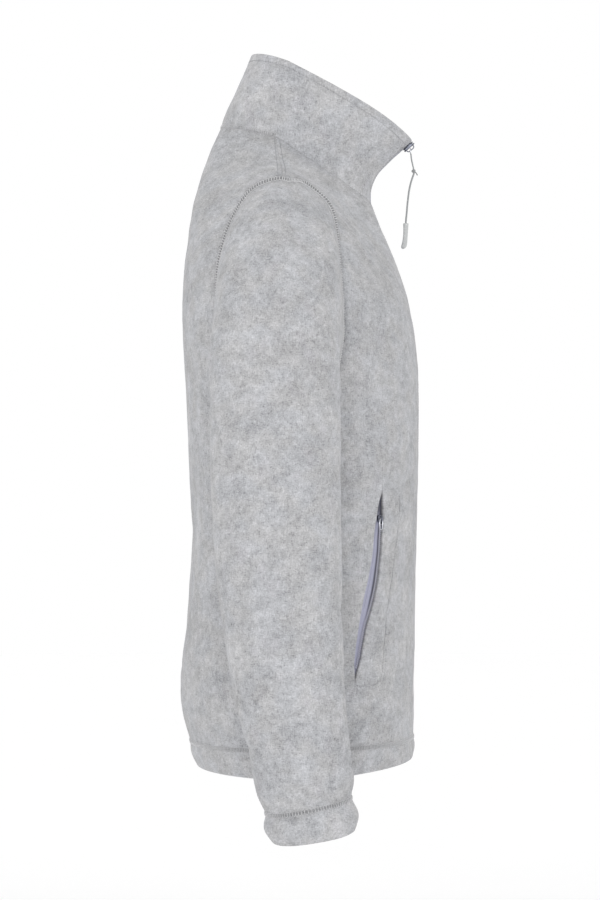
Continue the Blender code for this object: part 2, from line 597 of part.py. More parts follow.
def front_zip(tape_look, coil_look, metal):
    """Tapes, coil and foot. A tape reaches behind its front, and only to the cloth's edge in hem and collar."""
    levels, rows = panel_levels(), np.arange(len(panel_levels()), dtype=float)
    rows[0] += 0.0015 / (levels[1] - levels[0])
    rows[-1] -= (THROAT + 0.0005) / (levels[-1] - levels[-2])
    beside = [(BODY, level) for level in np.interp(rows, np.arange(len(levels)), levels)]
    below = [(BODY, level) for level in (0.004, HEM_SEAM - 0.001, HEM_SEAM + 0.0003)]
    throat = [(BODY, beside[-1][1] + 0.0012)]
    above = [(COLLAR, level) for level in (NECK_SEAM + 0.005, 0.752, 0.766, 0.782, 0.800, COLLAR_EDGE - 0.002)]

    narrow = FRONT_EDGE - SEAM_GAP
    stations = below + beside + throat + above
    points, normals = centre_strip(stations, [SEAM_GAP / 2, narrow * 0.35, narrow * 0.7, narrow])
    tucked = slice(len(below), len(below) + len(beside))
    first_cell = np.linalg.norm(np.diff(front_grid()[0][:, :2], axis=1)[:, 0], axis=1)
    points[tucked, 2], normals[tucked, 2] = on_front(rows, 0.0)
    points[tucked, 3], normals[tucked, 3] = on_front(rows, (TAPE_REACH - FRONT_EDGE) / first_cell)
    depth = FLEECE + TAPE_GAP
    for side in (1, -1):
        layer(side_name("zip_tape", side), side, points, normals, depth, depth + TAPE_CLOTH, tape_look)

    chain = [(BODY, FOOT_TOP + 0.0005)] + below[1:] + beside + above[:-1] + [(COLLAR, COLLAR_EDGE - 0.003)]
    points, normals = centre_strip(chain, [-COIL_WIDTH / 2, 0.0, COIL_WIDTH / 2])
    layer("zip_coil", 1, points, normals, COIL_SUNK, COIL_SUNK + COIL_DEPTH, coil_look)
    foot = [(BODY, level) for level in (FOOT_TOP - FOOT_LENGTH, FOOT_TOP - FOOT_LENGTH / 2, FOOT_TOP)]
    points, normals = centre_strip(foot, [-FOOT_WIDTH / 2, 0.0, FOOT_WIDTH / 2])
    layer("zip_foot", 1, points, normals, -0.0006, depth - SEAM_GAP, metal)


def pocket(side, welt_look, tape_look, coil_look):
    """The zip tape behind the slit, the coil along the slit's front edge, and the welt on the front's face."""
    foot, head = SLIT_FOOT_ROW, SLIT_FOOT_ROW + SLIT_STEPS
    slit = FRONT_STEPS + WELT_STEPS
    row_height = (SLIT_HEAD - SLIT_FOOT) / SLIT_STEPS
    rows = np.array([foot - 0.18, *range(foot, head + 1), head + 0.14])[:, None]
    depth = FLEECE + TAPE_GAP
    point, normal = on_front(rows, np.array([slit - 0.65, slit, slit + 1, slit + 1.35]))
    layer(side_name("pocket_tape", side), side, point, normal, depth, depth + TAPE_CLOTH, tape_look)

    rows = np.repeat(rows, 3, axis=1)
    rows[0] = foot - WELT_FOOT / row_height
    rows[-1] = head + (WELT_HEAD - WELT_HEAD_DROP * np.array([0.0, 0.5, 1.0])) / row_height
    rows[-2] = np.minimum(rows[-2], rows[-1] - 0.12)
    point, normal = on_front(rows, np.array([slit - 0.03, slit - 1, slit - 2]))
    layer(side_name("pocket_welt", side), side, point, normal, -SEAM_GAP - WELT_CLOTH, -SEAM_GAP, welt_look)

    start = foot + COIL_START / row_height
    end = foot + (POCKET_SLIDER_AT - POCKET_SLIDER_LENGTH / 2 - SEAM_GAP - SLIT_FOOT) / row_height
    rows = np.array([start, *range(foot + 1, math.ceil(end)), end])
    edges = [on_front(rows, slit + step)[0] for step in (0.0, 1.0)]
    width = np.linalg.norm(edges[1] - edges[0], axis=1)
    columns = slit + np.array([0.0005, 0.0005 + POCKET_COIL_WIDTH]) / width[:, None]
    point, normal = on_front(rows[:, None], columns)
    layer(side_name("pocket_coil", side), side, point, normal, FLEECE - 0.0013, FLEECE + TAPE_GAP - SEAM_GAP,
          coil_look)


def look_along(origin, x_axis, y_axis, z_axis):
    """A matrix that stands a piece made round its own origin in its place."""
    matrix = Matrix((x_axis, y_axis, z_axis)).transposed().to_4x4()
    matrix.translation = origin
    return matrix


def rounded_box(name, size, centre, bevel, look):
    bpy.ops.mesh.primitive_cube_add(size=1.0)
    made = bpy.context.object
    made.name = name
    made.data.transform(Matrix.Translation(centre) @ Matrix.Diagonal((*size, 1.0)))
    made.data.materials.append(look)
    rounding = made.modifiers.new("round edges", "BEVEL")
    rounding.width = bevel
    rounding.segments = 2
    return made


def put_in(made, where):
    for old in list(made.users_collection):
        old.objects.unlink(made)
    where.objects.link(made)
    return made


def slider(name, length, width, thickness, bridge_rise, look, place):
    """A zip slider: x across, y up the zip, z out of the cloth, with its bridge along y."""
    body = put_in(rounded_box(name, (width, length, thickness), (0, 0, thickness / 2), 0.0011, look), JACKET)
    bridge = rounded_box(f"{name}_bridge", (BRIDGE_WIDTH, length * BRIDGE_SHARE, bridge_rise + 0.001),
                         (0, 0, thickness + bridge_rise / 2 - 0.0005), 0.0006, look)
    put_in(bridge, CUTTERS)
    window = rounded_box(f"{name}_window", (3 * BRIDGE_WIDTH, length * BRIDGE_SHARE - 2 * BRIDGE_THICKNESS,
                                           bridge_rise - BRIDGE_THICKNESS),
                         (0, 0, thickness + (bridge_rise - BRIDGE_THICKNESS) / 2), 0.0003, look)
    put_in(window, CUTTERS)
    for tool, operation in ((bridge, "UNION"), (window, "DIFFERENCE")):
        tool.hide_render = True
        tool.display_type = "WIRE"
        tool.matrix_world = place
        change = body.modifiers.new(tool.name, "BOOLEAN")
        change.object = tool
        change.operation = operation
    body.matrix_world = place
    return body


def wire(name, points, thickness, look, closed=False, place=None):
    """A wire or cord along points, filled at its ends."""
    curve = bpy.data.curves.new(name, "CURVE")
    curve.dimensions = "3D"
    curve.bevel_depth = thickness / 2
    curve.bevel_resolution = 2
    curve.use_fill_caps = not closed
    spline = curve.splines.new("POLY")
    spline.points.add(len(points) - 1)
    for point, where in zip(spline.points, points):
        point.co = (*where, 1.0)
    spline.use_cyclic_u = closed
    curve.materials.append(look)
    made = bpy.data.objects.new(name, curve)
    JACKET.objects.link(made)
    if place is not None:
        made.matrix_world = place
    return made


def oval_ring(width, length, steps=16):
    """An upright oval from its top at the origin down, x across and z up."""
    turns = np.linspace(0, 2 * math.pi, steps, endpoint=False)
    square = 0.55
    across = width / 2 * np.sign(np.sin(turns)) * np.abs(np.sin(turns)) ** square
    upward = length / 2 * (np.sign(np.cos(turns)) * np.abs(np.cos(turns)) ** square - 1)
    return [(x, 0.0, z) for x, z in zip(across, upward)]


def smooth_route(knots, spacing):
    """Points at an even spacing along a smooth curve through the route's own points."""
    knots = np.array(knots, float)
    length = np.concatenate([[0], np.cumsum(np.linalg.norm(np.diff(knots, axis=0), axis=1))])
    route = Rows("length x y z", {i: (s, *p) for i, (s, p) in enumerate(zip(length, knots))})
    count = max(2, round(length[-1] / spacing) + 1)
    read = route.read(np.linspace(0, length[-1], count))
    return np.stack([read["x"], read["y"], read["z"]], axis=-1)


def main_pull(hinge, metal, cord_look, grip_look):
    """The eye on the slider's bridge, its cord, the knot and the moulded grip, hanging straight down."""
    joint = bpy.data.objects.new("main_pull_hinge", None)
    JACKET.objects.link(joint)
    joint.location = hinge
    bpy.context.view_layer.update()

    eye = wire("zip_pull_eye", oval_ring(EYE_WIDTH - EYE_WIRE, EYE_LENGTH - EYE_WIRE), EYE_WIRE, metal, closed=True)
    upper = smooth_route([(0, -forward, -below) for forward, below in CORD_ROUTE], 2.5 * CORD_THICKNESS)
    lower = smooth_route([(0, -forward, -below) for forward, below in CORD_ROUTE_BELOW], 2.5 * CORD_THICKNESS)
    pieces = [eye, wire("pull_cord_upper", upper, CORD_THICKNESS, cord_look),
              wire("pull_cord_lower", lower, CORD_THICKNESS, cord_look)]

    bpy.ops.mesh.primitive_uv_sphere_add(segments=12, ring_count=8, radius=0.5)
    knot = put_in(bpy.context.object, JACKET)
    knot.name = "pull_knot"
    top, foot = CORD_ROUTE[-1], CORD_ROUTE_BELOW[0]
    tall = foot[1] - top[1] - 2 * SEAM_GAP
    knot.data.transform(Matrix.Diagonal((KNOT_SIZE * 0.9, KNOT_SIZE, tall, 1.0)))
    knot.data.materials.append(cord_look)
    knot.data.shade_smooth()
    knot.location = (0, -(top[0] + foot[0]) / 2, -(top[1] + foot[1]) / 2)
    pieces.append(knot)

    start_forward, start_below = CORD_ROUTE_BELOW[-1]
    rings = []
    for share in np.linspace(0, 1, 9):
        bend = GRIP_BEND * share**2
        rounded = math.sqrt(max(0.12, 1 - max(0.0, (share - 0.86) / 0.14) ** 2))
        slim = 1 - 0.12 * math.sin(math.pi * min(1.0, share / 0.8))
        ring = []
        for turn in np.linspace(0, 2 * math.pi, 14, endpoint=False):
            c, s = math.cos(turn), math.sin(turn)
            x = GRIP_THICKNESS / 2 * rounded * math.copysign(abs(c) ** 0.7, c)
            y = GRIP_WIDTH / 2 * rounded * slim * math.copysign(abs(s) ** 0.7, s)
            ring.append((x, -start_forward + bend + y, -start_below - SEAM_GAP - GRIP_LENGTH * share))
        rings.append(ring)
    grip = add_mesh("pull_grip", rings, tube_faces(len(rings), 14), grip_look)
    pieces.append(grip)
    for piece in pieces:
        piece.parent = joint
    return joint


def tube_faces(rings, around):
    faces = [tuple(range(around)), tuple((rings - 1) * around + k for k in reversed(range(around)))]
    for i in range(rings - 1):
        for k in range(around):
            n = (k + 1) % around
            faces.append((i * around + k, (i + 1) * around + k, (i + 1) * around + n, i * around + n))
    return faces


def station(table, level, around, side=1):
    """Point and axes there: across the zip, up it, and out of the cloth."""
    point, normal, _, rise = (v[0] for v in body_frame(np.array([around]), np.array([level]), table))
    across = np.cross(rise, normal)
    flip = np.array([side, 1.0, 1.0])
    return [Vector(v) for v in (point * flip, across * flip * side, rise * flip, normal * flip)]


def front_slider(metal, cord_look, grip_look):
    point, across, rise, normal = station(COLLAR, COLLAR_EDGE - SLIDER_BELOW_EDGE, 0.0)
    origin = point - normal * (COIL_SUNK - SEAM_GAP)
    slider("zip_slider", SLIDER_LENGTH, SLIDER_WIDTH, SLIDER_THICKNESS, BRIDGE_RISE, metal,
           look_along(origin, across, rise, normal))
    hinge = origin + normal * (SLIDER_THICKNESS + (BRIDGE_RISE - BRIDGE_THICKNESS) / 2)
    main_pull(hinge, metal, cord_look, grip_look)


def pocket_slider(side, metal):
    place = POCKET.read(np.array([POCKET_SLIDER_AT]))
    at = math.radians(float(place["slit_front"][0] + place["slit_back"][0]) / 2)
    point, across, rise, normal = station(BODY, POCKET_SLIDER_AT, at, side)
    origin = point - normal * FLEECE
    slider(side_name("pocket_slider", side), POCKET_SLIDER_LENGTH, POCKET_SLIDER_WIDTH, POCKET_SLIDER_THICKNESS,
           POCKET_BRIDGE_RISE, metal, look_along(origin, across, rise, normal))
    hinge = origin + normal * (POCKET_SLIDER_THICKNESS + (POCKET_BRIDGE_RISE - BRIDGE_THICKNESS) / 2)
    ring = oval_ring(POCKET_RING_WIDTH - POCKET_RING_WIRE, POCKET_RING_LENGTH - POCKET_RING_WIRE)
    wire(side_name("pocket_ring", side), ring, POCKET_RING_WIRE, metal, closed=True,
         place=look_along(hinge, across, -normal, rise))


clear_scene()
JACKET = collection("fleece_zip_jacket")
CUTTERS = collection("cutters")

fleece = material("heather_fleece", (0.50, 0.51, 0.53), 0.95)
fleece_band = material("fleece_band", (0.47, 0.48, 0.50), 0.95)
zip_tape = material("zip_tape", (0.36, 0.37, 0.48), 0.80)
zip_coil = material("zip_coil", (0.42, 0.43, 0.52), 0.45)
zip_metal = material("zip_metal", (0.62, 0.63, 0.67), 0.30, 1.0)
cord_cloth = material("pull_cord", (0.42, 0.43, 0.43), 0.75)
grip_rubber = material("pull_grip", (0.55, 0.56, 0.56), 0.50)

back(fleece)
for jacket_side in (1, -1):
    front(jacket_side, fleece)
    sleeve(jacket_side, fleece)
    cuff(jacket_side, fleece_band)
    pocket(jacket_side, fleece, zip_tape, zip_coil)
    pocket_slider(jacket_side, zip_metal)
hem(fleece_band)
collar(fleece)
front_zip(zip_tape, zip_coil, zip_metal)
front_slider(zip_metal, cord_cloth, grip_rubber)
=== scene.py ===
"""The dress of the fleece zip jacket: its cloth, seams, stitches, zips and pulls, in the part's own frame.

Metres, +Z up. The jacket faces -Y, and its wearer's right side is -X. Cloth is a thin shell on the form of
its solid, which the same tables and functions give.
"""

import math

import bpy
import numpy as np
from mathutils import Matrix, Vector


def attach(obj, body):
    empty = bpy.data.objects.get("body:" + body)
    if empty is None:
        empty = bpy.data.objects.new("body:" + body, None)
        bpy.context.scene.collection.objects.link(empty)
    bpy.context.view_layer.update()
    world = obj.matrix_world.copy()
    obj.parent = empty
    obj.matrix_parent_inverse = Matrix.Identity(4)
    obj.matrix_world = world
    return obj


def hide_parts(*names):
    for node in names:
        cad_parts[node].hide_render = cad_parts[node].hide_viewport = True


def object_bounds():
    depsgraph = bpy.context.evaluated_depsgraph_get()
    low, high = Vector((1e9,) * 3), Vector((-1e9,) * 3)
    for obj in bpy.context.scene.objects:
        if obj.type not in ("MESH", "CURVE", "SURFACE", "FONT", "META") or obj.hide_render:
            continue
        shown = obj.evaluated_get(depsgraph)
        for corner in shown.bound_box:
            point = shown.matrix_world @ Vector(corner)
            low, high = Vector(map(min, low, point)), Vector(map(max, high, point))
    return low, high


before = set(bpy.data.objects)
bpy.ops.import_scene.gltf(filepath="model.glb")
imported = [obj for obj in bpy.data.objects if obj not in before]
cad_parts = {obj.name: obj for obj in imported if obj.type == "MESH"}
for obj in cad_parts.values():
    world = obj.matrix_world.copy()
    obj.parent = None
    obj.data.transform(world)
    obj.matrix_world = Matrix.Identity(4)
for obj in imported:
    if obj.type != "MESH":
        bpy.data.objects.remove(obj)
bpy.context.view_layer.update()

# Cloth and seams.
FLEECE = 0.0025  # one layer of the fleece
COLLAR_CLOTH = 0.0042  # two layers, turned over at the top
HEM_CLOTH = 0.0046  # turned up, with its cover stitch
CUFF_CLOTH = 0.0040
TAPE_CLOTH = 0.0008
SEAM_GAP = 0.0003
TAPE_GAP = 0.0005

# The front zip.
FRONT_EDGE = 0.0050  # half the space between the two front edges
TAPE_REACH = 0.0150  # half width of the zip, coil and tapes
COIL_SUNK = 0.0005  # below the cloth's face
FOOT_TOP = 0.0140  # the top of the box that the zip starts from
THROAT = 0.0070  # how far the neck seam's bend reaches along the zip

# The body of the jacket, a loop for each row, from the hem up to the neck seam. `up` runs up the side seam.
# Each loop goes through a centre front, a centre back and a side point; its powers say how square it is.
BODY_COLUMNS = "up front_y front_z back_y back_z side_x side_y side_z front_power back_power"
BODY_ROWS = {
    "hem edge": (0.000, -0.1368, -0.6425, 0.0905, -0.6500, 0.1955, -0.0210, -0.6555, 2.30, 2.40),
    "hem middle": (0.012, -0.1385, -0.6320, 0.0965, -0.6370, 0.2005, -0.0205, -0.6390, 2.30, 2.40),
    "hem seam": (0.028, -0.1375, -0.6195, 0.0985, -0.6235, 0.1998, -0.0200, -0.6235, 2.30, 2.40),
    "low seat": (0.060, -0.1384, -0.5900, 0.1064, -0.5910, 0.2060, -0.0200, -0.5910, 2.30, 2.40),
    "seat": (0.095, -0.1385, -0.5560, 0.1086, -0.5560, 0.2098, -0.0200, -0.5560, 2.30, 2.40),
    "hip": (0.151, -0.1392, -0.5010, 0.1018, -0.5010, 0.2110, -0.0200, -0.5000, 2.30, 2.40),
    "waist": (0.241, -0.1410, -0.4110, 0.0966, -0.4110, 0.2095, -0.0200, -0.4100, 2.30, 2.45),
    "ribs": (0.333, -0.1430, -0.3180, 0.0992, -0.3190, 0.2120, -0.0170, -0.3180, 2.30, 2.55),
    "underarm": (0.386, -0.1436, -0.2620, 0.1014, -0.2660, 0.2140, -0.0090, -0.2650, 2.30, 2.70),
    "chest": (0.440, -0.1420, -0.2230, 0.1042, -0.2200, 0.2146, -0.0040, -0.2120, 2.25, 2.85),
    "armhole middle": (0.491, -0.1378, -0.1880, 0.1056, -0.1740, 0.2143, 0.0000, -0.1610, 2.18, 2.90),
    "armhole top": (0.561, -0.1278, -0.1450, 0.1018, -0.1050, 0.2110, 0.0015, -0.0910, 2.08, 2.65),
    "shoulder point": (0.609, -0.1168, -0.1140, 0.0940, -0.0560, 0.2035, 0.0000, -0.0431, 2.00, 2.35),
    "shoulder": (0.673, -0.1030, -0.0810, 0.0810, -0.0130, 0.1430, 0.0030, -0.0180, 1.98, 2.12),
    "neck seam": (0.737, -0.0936, -0.0562, 0.0650, 0.0228, 0.0800, 0.0070, 0.0080, 2.00, 2.00),
}
COLLAR_ROWS = {
    "neck seam": (0.737, -0.0936, -0.0562, 0.0650, 0.0228, 0.0800, 0.0070, 0.0080, 2.00, 2.00),
    "stand": (0.750, -0.0938, -0.0440, 0.0618, 0.0335, 0.0795, 0.0058, 0.0200, 2.00, 2.05),
    "lower third": (0.768, -0.0992, -0.0290, 0.0562, 0.0480, 0.0785, 0.0044, 0.0370, 2.00, 2.15),
    "upper third": (0.792, -0.1134, -0.0130, 0.0465, 0.0700, 0.0760, -0.0020, 0.0615, 2.00, 2.30),
    "collar edge": (0.824, -0.1375, 0.0092, 0.0338, 0.1000, 0.0710, -0.0060, 0.0885, 1.95, 2.40),
}
HEM_SEAM, UNDERARM, SHOULDER_POINT, NECK_SEAM, COLLAR_EDGE = 0.028, 0.386, 0.609, 0.737, 0.824
COLLAR_BOW = 0.0115  # how steeply the collar's edge bows up from its side toward its front corner
COLLAR_BACK_BOW = 0.0030  # and toward its back
SHOULDER_SOFT = 0.085  # over this much each way the shoulder's corner fades out toward the chest
# Ahead of each shoulder point the cloth is full: its levels are drawn up by this much, between these degrees
# ahead of the side and these heights.
SHOULDER_LIFT = 0.026
LIFT_AHEAD = (0.0, 14.0, 34.0, 62.0)
LIFT_UP = (0.46, 0.57, 0.615, 0.715)

# The armhole, an oval round the side of the body, in degrees each way at its widest.
ARMHOLE_FRONT = 25.0
ARMHOLE_BACK = 31.0
ARMHOLE_LEAN = 0.16  # how much wider the front is at the shoulder point than half way down, as a share
ARMHOLE_TOP_SQUARE = 0.32  # under 1 is squarer than an oval
ARMHOLE_FRONT_SQUARE = 0.46
ARMHOLE_BACK_SQUARE = 0.74
ARMHOLE_SPREAD = 0.40  # sets the armhole's points closer together round its top and its foot

# A sleeve, a ring for each row. `inner` faces the body and `outer` faces away from it.
SLEEVE_COLUMNS = "along inner_x inner_z outer_x outer_z front_y back_y front_rise power"
SLEEVE_ROWS = {
    "armhole": (0.000, 0.2140, -0.2650, 0.2035, -0.0431, -0.0595, 0.0670, 0.000, 2.2),
    "cap": (0.030, 0.2185, -0.2668, 0.2320, -0.0570, -0.0603, 0.0675, 0.000, 2.2),
    "cap side": (0.070, 0.2225, -0.2705, 0.2660, -0.0860, -0.0600, 0.0682, 0.000, 2.2),
    "cap end": (0.110, 0.2252, -0.2780, 0.2965, -0.1250, -0.0592, 0.0697, 0.000, 2.2),
    "arm top": (0.160, 0.2272, -0.2920, 0.3205, -0.1770, -0.0587, 0.0716, 0.000, 2.2),
    "arm": (0.210, 0.2290, -0.3140, 0.3345, -0.2350, -0.0587, 0.0724, 0.000, 2.2),
    "upper arm": (0.270, 0.2315, -0.3530, 0.3420, -0.3000, -0.0587, 0.0712, 0.000, 2.2),
    "above elbow": (0.350, 0.2365, -0.4260, 0.3470, -0.3850, -0.0587, 0.0684, 0.000, 2.2),
    "elbow": (0.430, 0.2430, -0.5000, 0.3500, -0.4750, -0.0605, 0.0592, 0.000, 2.2),
    "forearm": (0.510, 0.2510, -0.5775, 0.3495, -0.5650, -0.0633, 0.0445, 0.004, 2.2),
    "lower arm": (0.570, 0.2570, -0.6245, 0.3465, -0.6240, -0.0685, 0.0315, 0.010, 2.2),
    "blouse": (0.600, 0.2588, -0.6505, 0.3450, -0.6540, -0.0712, 0.0245, 0.014, 2.2),
    "cuff seam": (0.620, 0.2640, -0.6660, 0.3390, -0.6725, -0.0688, 0.0165, 0.016, 2.2),
    "cuff": (0.640, 0.2615, -0.6830, 0.3415, -0.6900, -0.0758, 0.0172, 0.014, 2.3),
    "cuff end": (0.655, 0.2650, -0.6960, 0.3380, -0.7045, -0.0715, 0.0085, 0.012, 2.3),
}
CUFF_SEAM, CUFF_END = 0.620, 0.655
SET_IN = 0.16  # how far down the sleeve its rings still follow the armhole

# The pocket's slit in a front, in degrees round from the centre front, and its welt's stitched edge.
POCKET_COLUMNS = "up welt_edge slit_front slit_back"
POCKET_ROWS = {
    "hem seam": (0.028, 54.0, 63.5, 66.5),
    "slit foot": (0.100, 52.4, 65.5, 67.2),
    "low": (0.125, 48.6, 62.5, 66.1),
    "lower middle": (0.150, 45.0, 60.0, 64.3),
    "middle": (0.185, 40.9, 54.6, 61.2),
    "upper middle": (0.222, 38.3, 51.2, 57.1),
    "high": (0.250, 36.6, 50.1, 55.2),
    "slit head": (0.294, 35.6, 49.8, 51.4),
    "chest": (0.386, 35.0, 46.5, 49.0),
    "shoulder": (0.609, 33.0, 42.0, 46.0),
    "neck seam": (0.737, 38.0, 52.0, 58.0),
}
SLIT_FOOT, SLIT_HEAD = 0.100, 0.294
POCKET_SLIDER_AT = 0.2635
WELT_FOOT, WELT_HEAD, WELT_HEAD_DROP = 0.0063, 0.0030, 0.0100  # below and above the slit, and toward the zip

# Folds in the cloth: where each starts and ends (degrees round, metres up or along), its width and its depth.
BODY_RADIUS, ARM_RADIUS, CREASE_RADIUS = 0.18, 0.062, 0.055  # these make lengths of the folds' degrees
BODY_FOLDS = (
    ("behind the right arm", 128, 0.47, 118, 0.22, 0.022, -0.0035),
    ("behind the left arm", -127, 0.45, -120, 0.20, 0.024, -0.0030),
    ("small of the back", 172, 0.26, 205, 0.17, 0.030, -0.0030),
    ("over the right hip", 100, 0.20, 140, 0.13, 0.026, -0.0025),
    ("over the left hip", -98, 0.21, -138, 0.12, 0.026, -0.0025),
)
SLEEVE_FOLDS = (
    ("front of the elbow", 60, 0.40, 130, 0.45, 0.022, -0.0035),
    ("back of the arm", 285, 0.17, 262, 0.26, 0.024, -0.0035),
    ("above the cuff", 320, 0.545, 30, 0.585, 0.020, -0.0025),
)

# The front zip's slider and its cord pull.
SLIDER_LENGTH, SLIDER_WIDTH, SLIDER_THICKNESS, SLIDER_BELOW_EDGE = 0.0138, 0.0094, 0.0034, 0.0068
BRIDGE_WIDTH, BRIDGE_THICKNESS, BRIDGE_RISE, BRIDGE_SHARE = 0.0022, 0.0011, 0.0033, 0.72
EYE_WIRE, EYE_WIDTH, EYE_LENGTH = 0.0011, 0.0052, 0.0060
CORD_THICKNESS = 0.0019
GRIP_WIDTH, GRIP_THICKNESS, GRIP_LENGTH, GRIP_BEND = 0.0058, 0.0046, 0.0272, 0.0022
# The cord's route below the eye, as distances forward of the hinge and below it.
CORD_ROUTE = ((0.0004, 0.0058), (0.0010, 0.0110), (0.0022, 0.0165), (0.0032, 0.0214))
CORD_ROUTE_BELOW = ((0.0035, 0.0261), (0.0021, 0.0305), (0.0003, 0.0363), (-0.0015, 0.0446),
                    (-0.0028, 0.0546), (-0.0040, 0.0676), (-0.0049, 0.0787))
POCKET_SLIDER_LENGTH, POCKET_SLIDER_WIDTH, POCKET_SLIDER_THICKNESS = 0.0080, 0.0042, 0.0030
POCKET_BRIDGE_RISE = 0.0030
POCKET_RING_WIRE, POCKET_RING_WIDTH, POCKET_RING_LENGTH = 0.0012, 0.0062, 0.0122


class Rows:
    """A table whose named columns are read anywhere between its rows, along a smooth curve."""

    def __init__(self, columns, rows):
        self.names = columns.split()
        table = np.array(list(rows.values()), float)
        self.at_row, self.value = table[:, 0], table[:, 1:]
        self.step = np.diff(self.at_row)
        rise = np.diff(self.value, axis=0) / self.step[:, None]
        before, after = self.step[:-1, None], self.step[1:, None]
        inside = (rise[:-1] * after + rise[1:] * before) / (before + after)
        self.slope = np.vstack([rise[:1], inside, rise[-1:]])

    def read(self, place):
        place = np.clip(np.asarray(place, float), self.at_row[0], self.at_row[-1])
        row = np.clip(np.searchsorted(self.at_row, place, side="right") - 1, 0, len(self.step) - 1)
        step = self.step[row]
        u = (place - self.at_row[row]) / step
        u, step = u[..., None], step[..., None]
        value = (
            (2 * u**3 - 3 * u**2 + 1) * self.value[row]
            + (u**3 - 2 * u**2 + u) * step * self.slope[row]
            + (3 * u**2 - 2 * u**3) * self.value[row + 1]
            + (u**3 - u**2) * step * self.slope[row + 1]
        )
        return {name: value[..., i] for i, name in enumerate(self.names[1:])}


def softened(rows, reach):
    """The side point's x and z averaged over this much of the rows each way, and unchanged at their ends."""
    levels = np.linspace(rows.at_row[0], rows.at_row[-1], 49)
    reach = np.minimum(reach, np.minimum(levels - levels[0], levels[-1] - levels))
    sides = [rows.read(levels + share * reach) for share in np.linspace(-1, 1, 9)]
    x, z = (np.mean([side[name] for side in sides], axis=0) for name in ("side_x", "side_z"))
    return Rows("up side_x side_z", {level: (level, *values) for level, *values in zip(levels, x, z)})


# How far apart the points are that give the cloth's own directions.
NEXT_UP, NEXT_TURN, NEXT_ALONG, NEXT_SPIN = 0.0005, 0.002, 0.0008, 0.01

BODY = Rows(BODY_COLUMNS, BODY_ROWS)
BODY_SOFT = softened(BODY, SHOULDER_SOFT)
COLLAR = Rows(BODY_COLUMNS, COLLAR_ROWS)
SLEEVE = Rows(SLEEVE_COLUMNS, SLEEVE_ROWS)
POCKET = Rows(POCKET_COLUMNS, POCKET_ROWS)


def unit(vectors):
    return vectors / np.maximum(np.linalg.norm(vectors, axis=-1, keepdims=True), 1e-12)


def run_of(points):
    """How far along its line each point lies."""
    return np.concatenate([[0.0], np.cumsum(np.linalg.norm(np.diff(points, axis=0), axis=1))])


def power_of(value, power):
    """The value to a power, with its own sign."""
    return np.sign(value) * np.abs(value) ** power


def bell(gap, reach):
    """1 where there is no gap, falling off smoothly over this reach."""
    return np.exp(-((gap / reach) ** 2))


def fade(value, start, end):
    """0 at the start, 1 at the end, and smooth between them."""
    share = np.clip((value - start) / (end - start), 0.0, 1.0)
    return share * share * (3 - 2 * share)


def read_at(places, run, values):
    """Points or ways along a line, read at these places of its run."""
    return np.stack([np.interp(places, run, values[:, i]) for i in range(3)], axis=-1)


def round_turns(count):
    """Angles at even steps round a circle."""
    return np.linspace(0, 2 * math.pi, count, endpoint=False)


def smooth_route(knots, count, scale=1.0):
    """Points at an even spacing along a smooth curve through these, as measured when they're scaled."""
    knots = np.array(knots, float)
    run = run_of(knots * scale)
    columns = " ".join(["run", *"xyz"[:knots.shape[1]]])
    read = Rows(columns, {i: (at, *knot) for i, (at, knot) in enumerate(zip(run, knots))})
    return np.stack(list(read.read(np.linspace(0, run[-1], count)).values()), axis=-1)


def walls(rings, sides, closed=False, first=0):
    """The quads between one ring of points and the next, and also from the last to the first if closed."""
    quads = []
    for ring in range(rings if closed else rings - 1):
        low, high = first + ring * sides, first + (ring + 1) % rings * sides
        for k in range(sides):
            n = (k + 1) % sides
            quads.append((low + k, low + n, high + n, high + k))
    return quads


def fold_depth(folds, round_deg, place, radius):
    """How far the cloth stands out of its plain form at each point, from its folds."""
    out = np.zeros(np.broadcast(round_deg, place).shape)
    for _, start_deg, start, end_deg, end, width, depth in folds:
        run = np.array([math.radians(end_deg - start_deg) * radius, end - start])
        length = np.linalg.norm(run)
        run = run / length
        turn = (round_deg - start_deg + 180.0) % 360.0 - 180.0
        sideways = np.radians(turn) * radius
        lengthways = place - start
        along = (sideways * run[0] + lengthways * run[1]) / length
        across = sideways * run[1] - lengthways * run[0]
        beyond = np.maximum(np.abs(along - 0.5) - 0.5, 0.0) * length
        ends = np.clip(1.0 - np.abs(2 * along - 1), 0.0, 1.0) ** 0.5
        out = out + depth * ends * np.exp(-((across / (0.5 * width)) ** 2) - (beyond / width) ** 2)
    return out


def hump(value, rise, top, ease, end):
    """0 up to rise, 1 from top to ease, 0 again from end on, and smooth between them."""
    return fade(value, rise, top) * (1 - fade(value, ease, end))


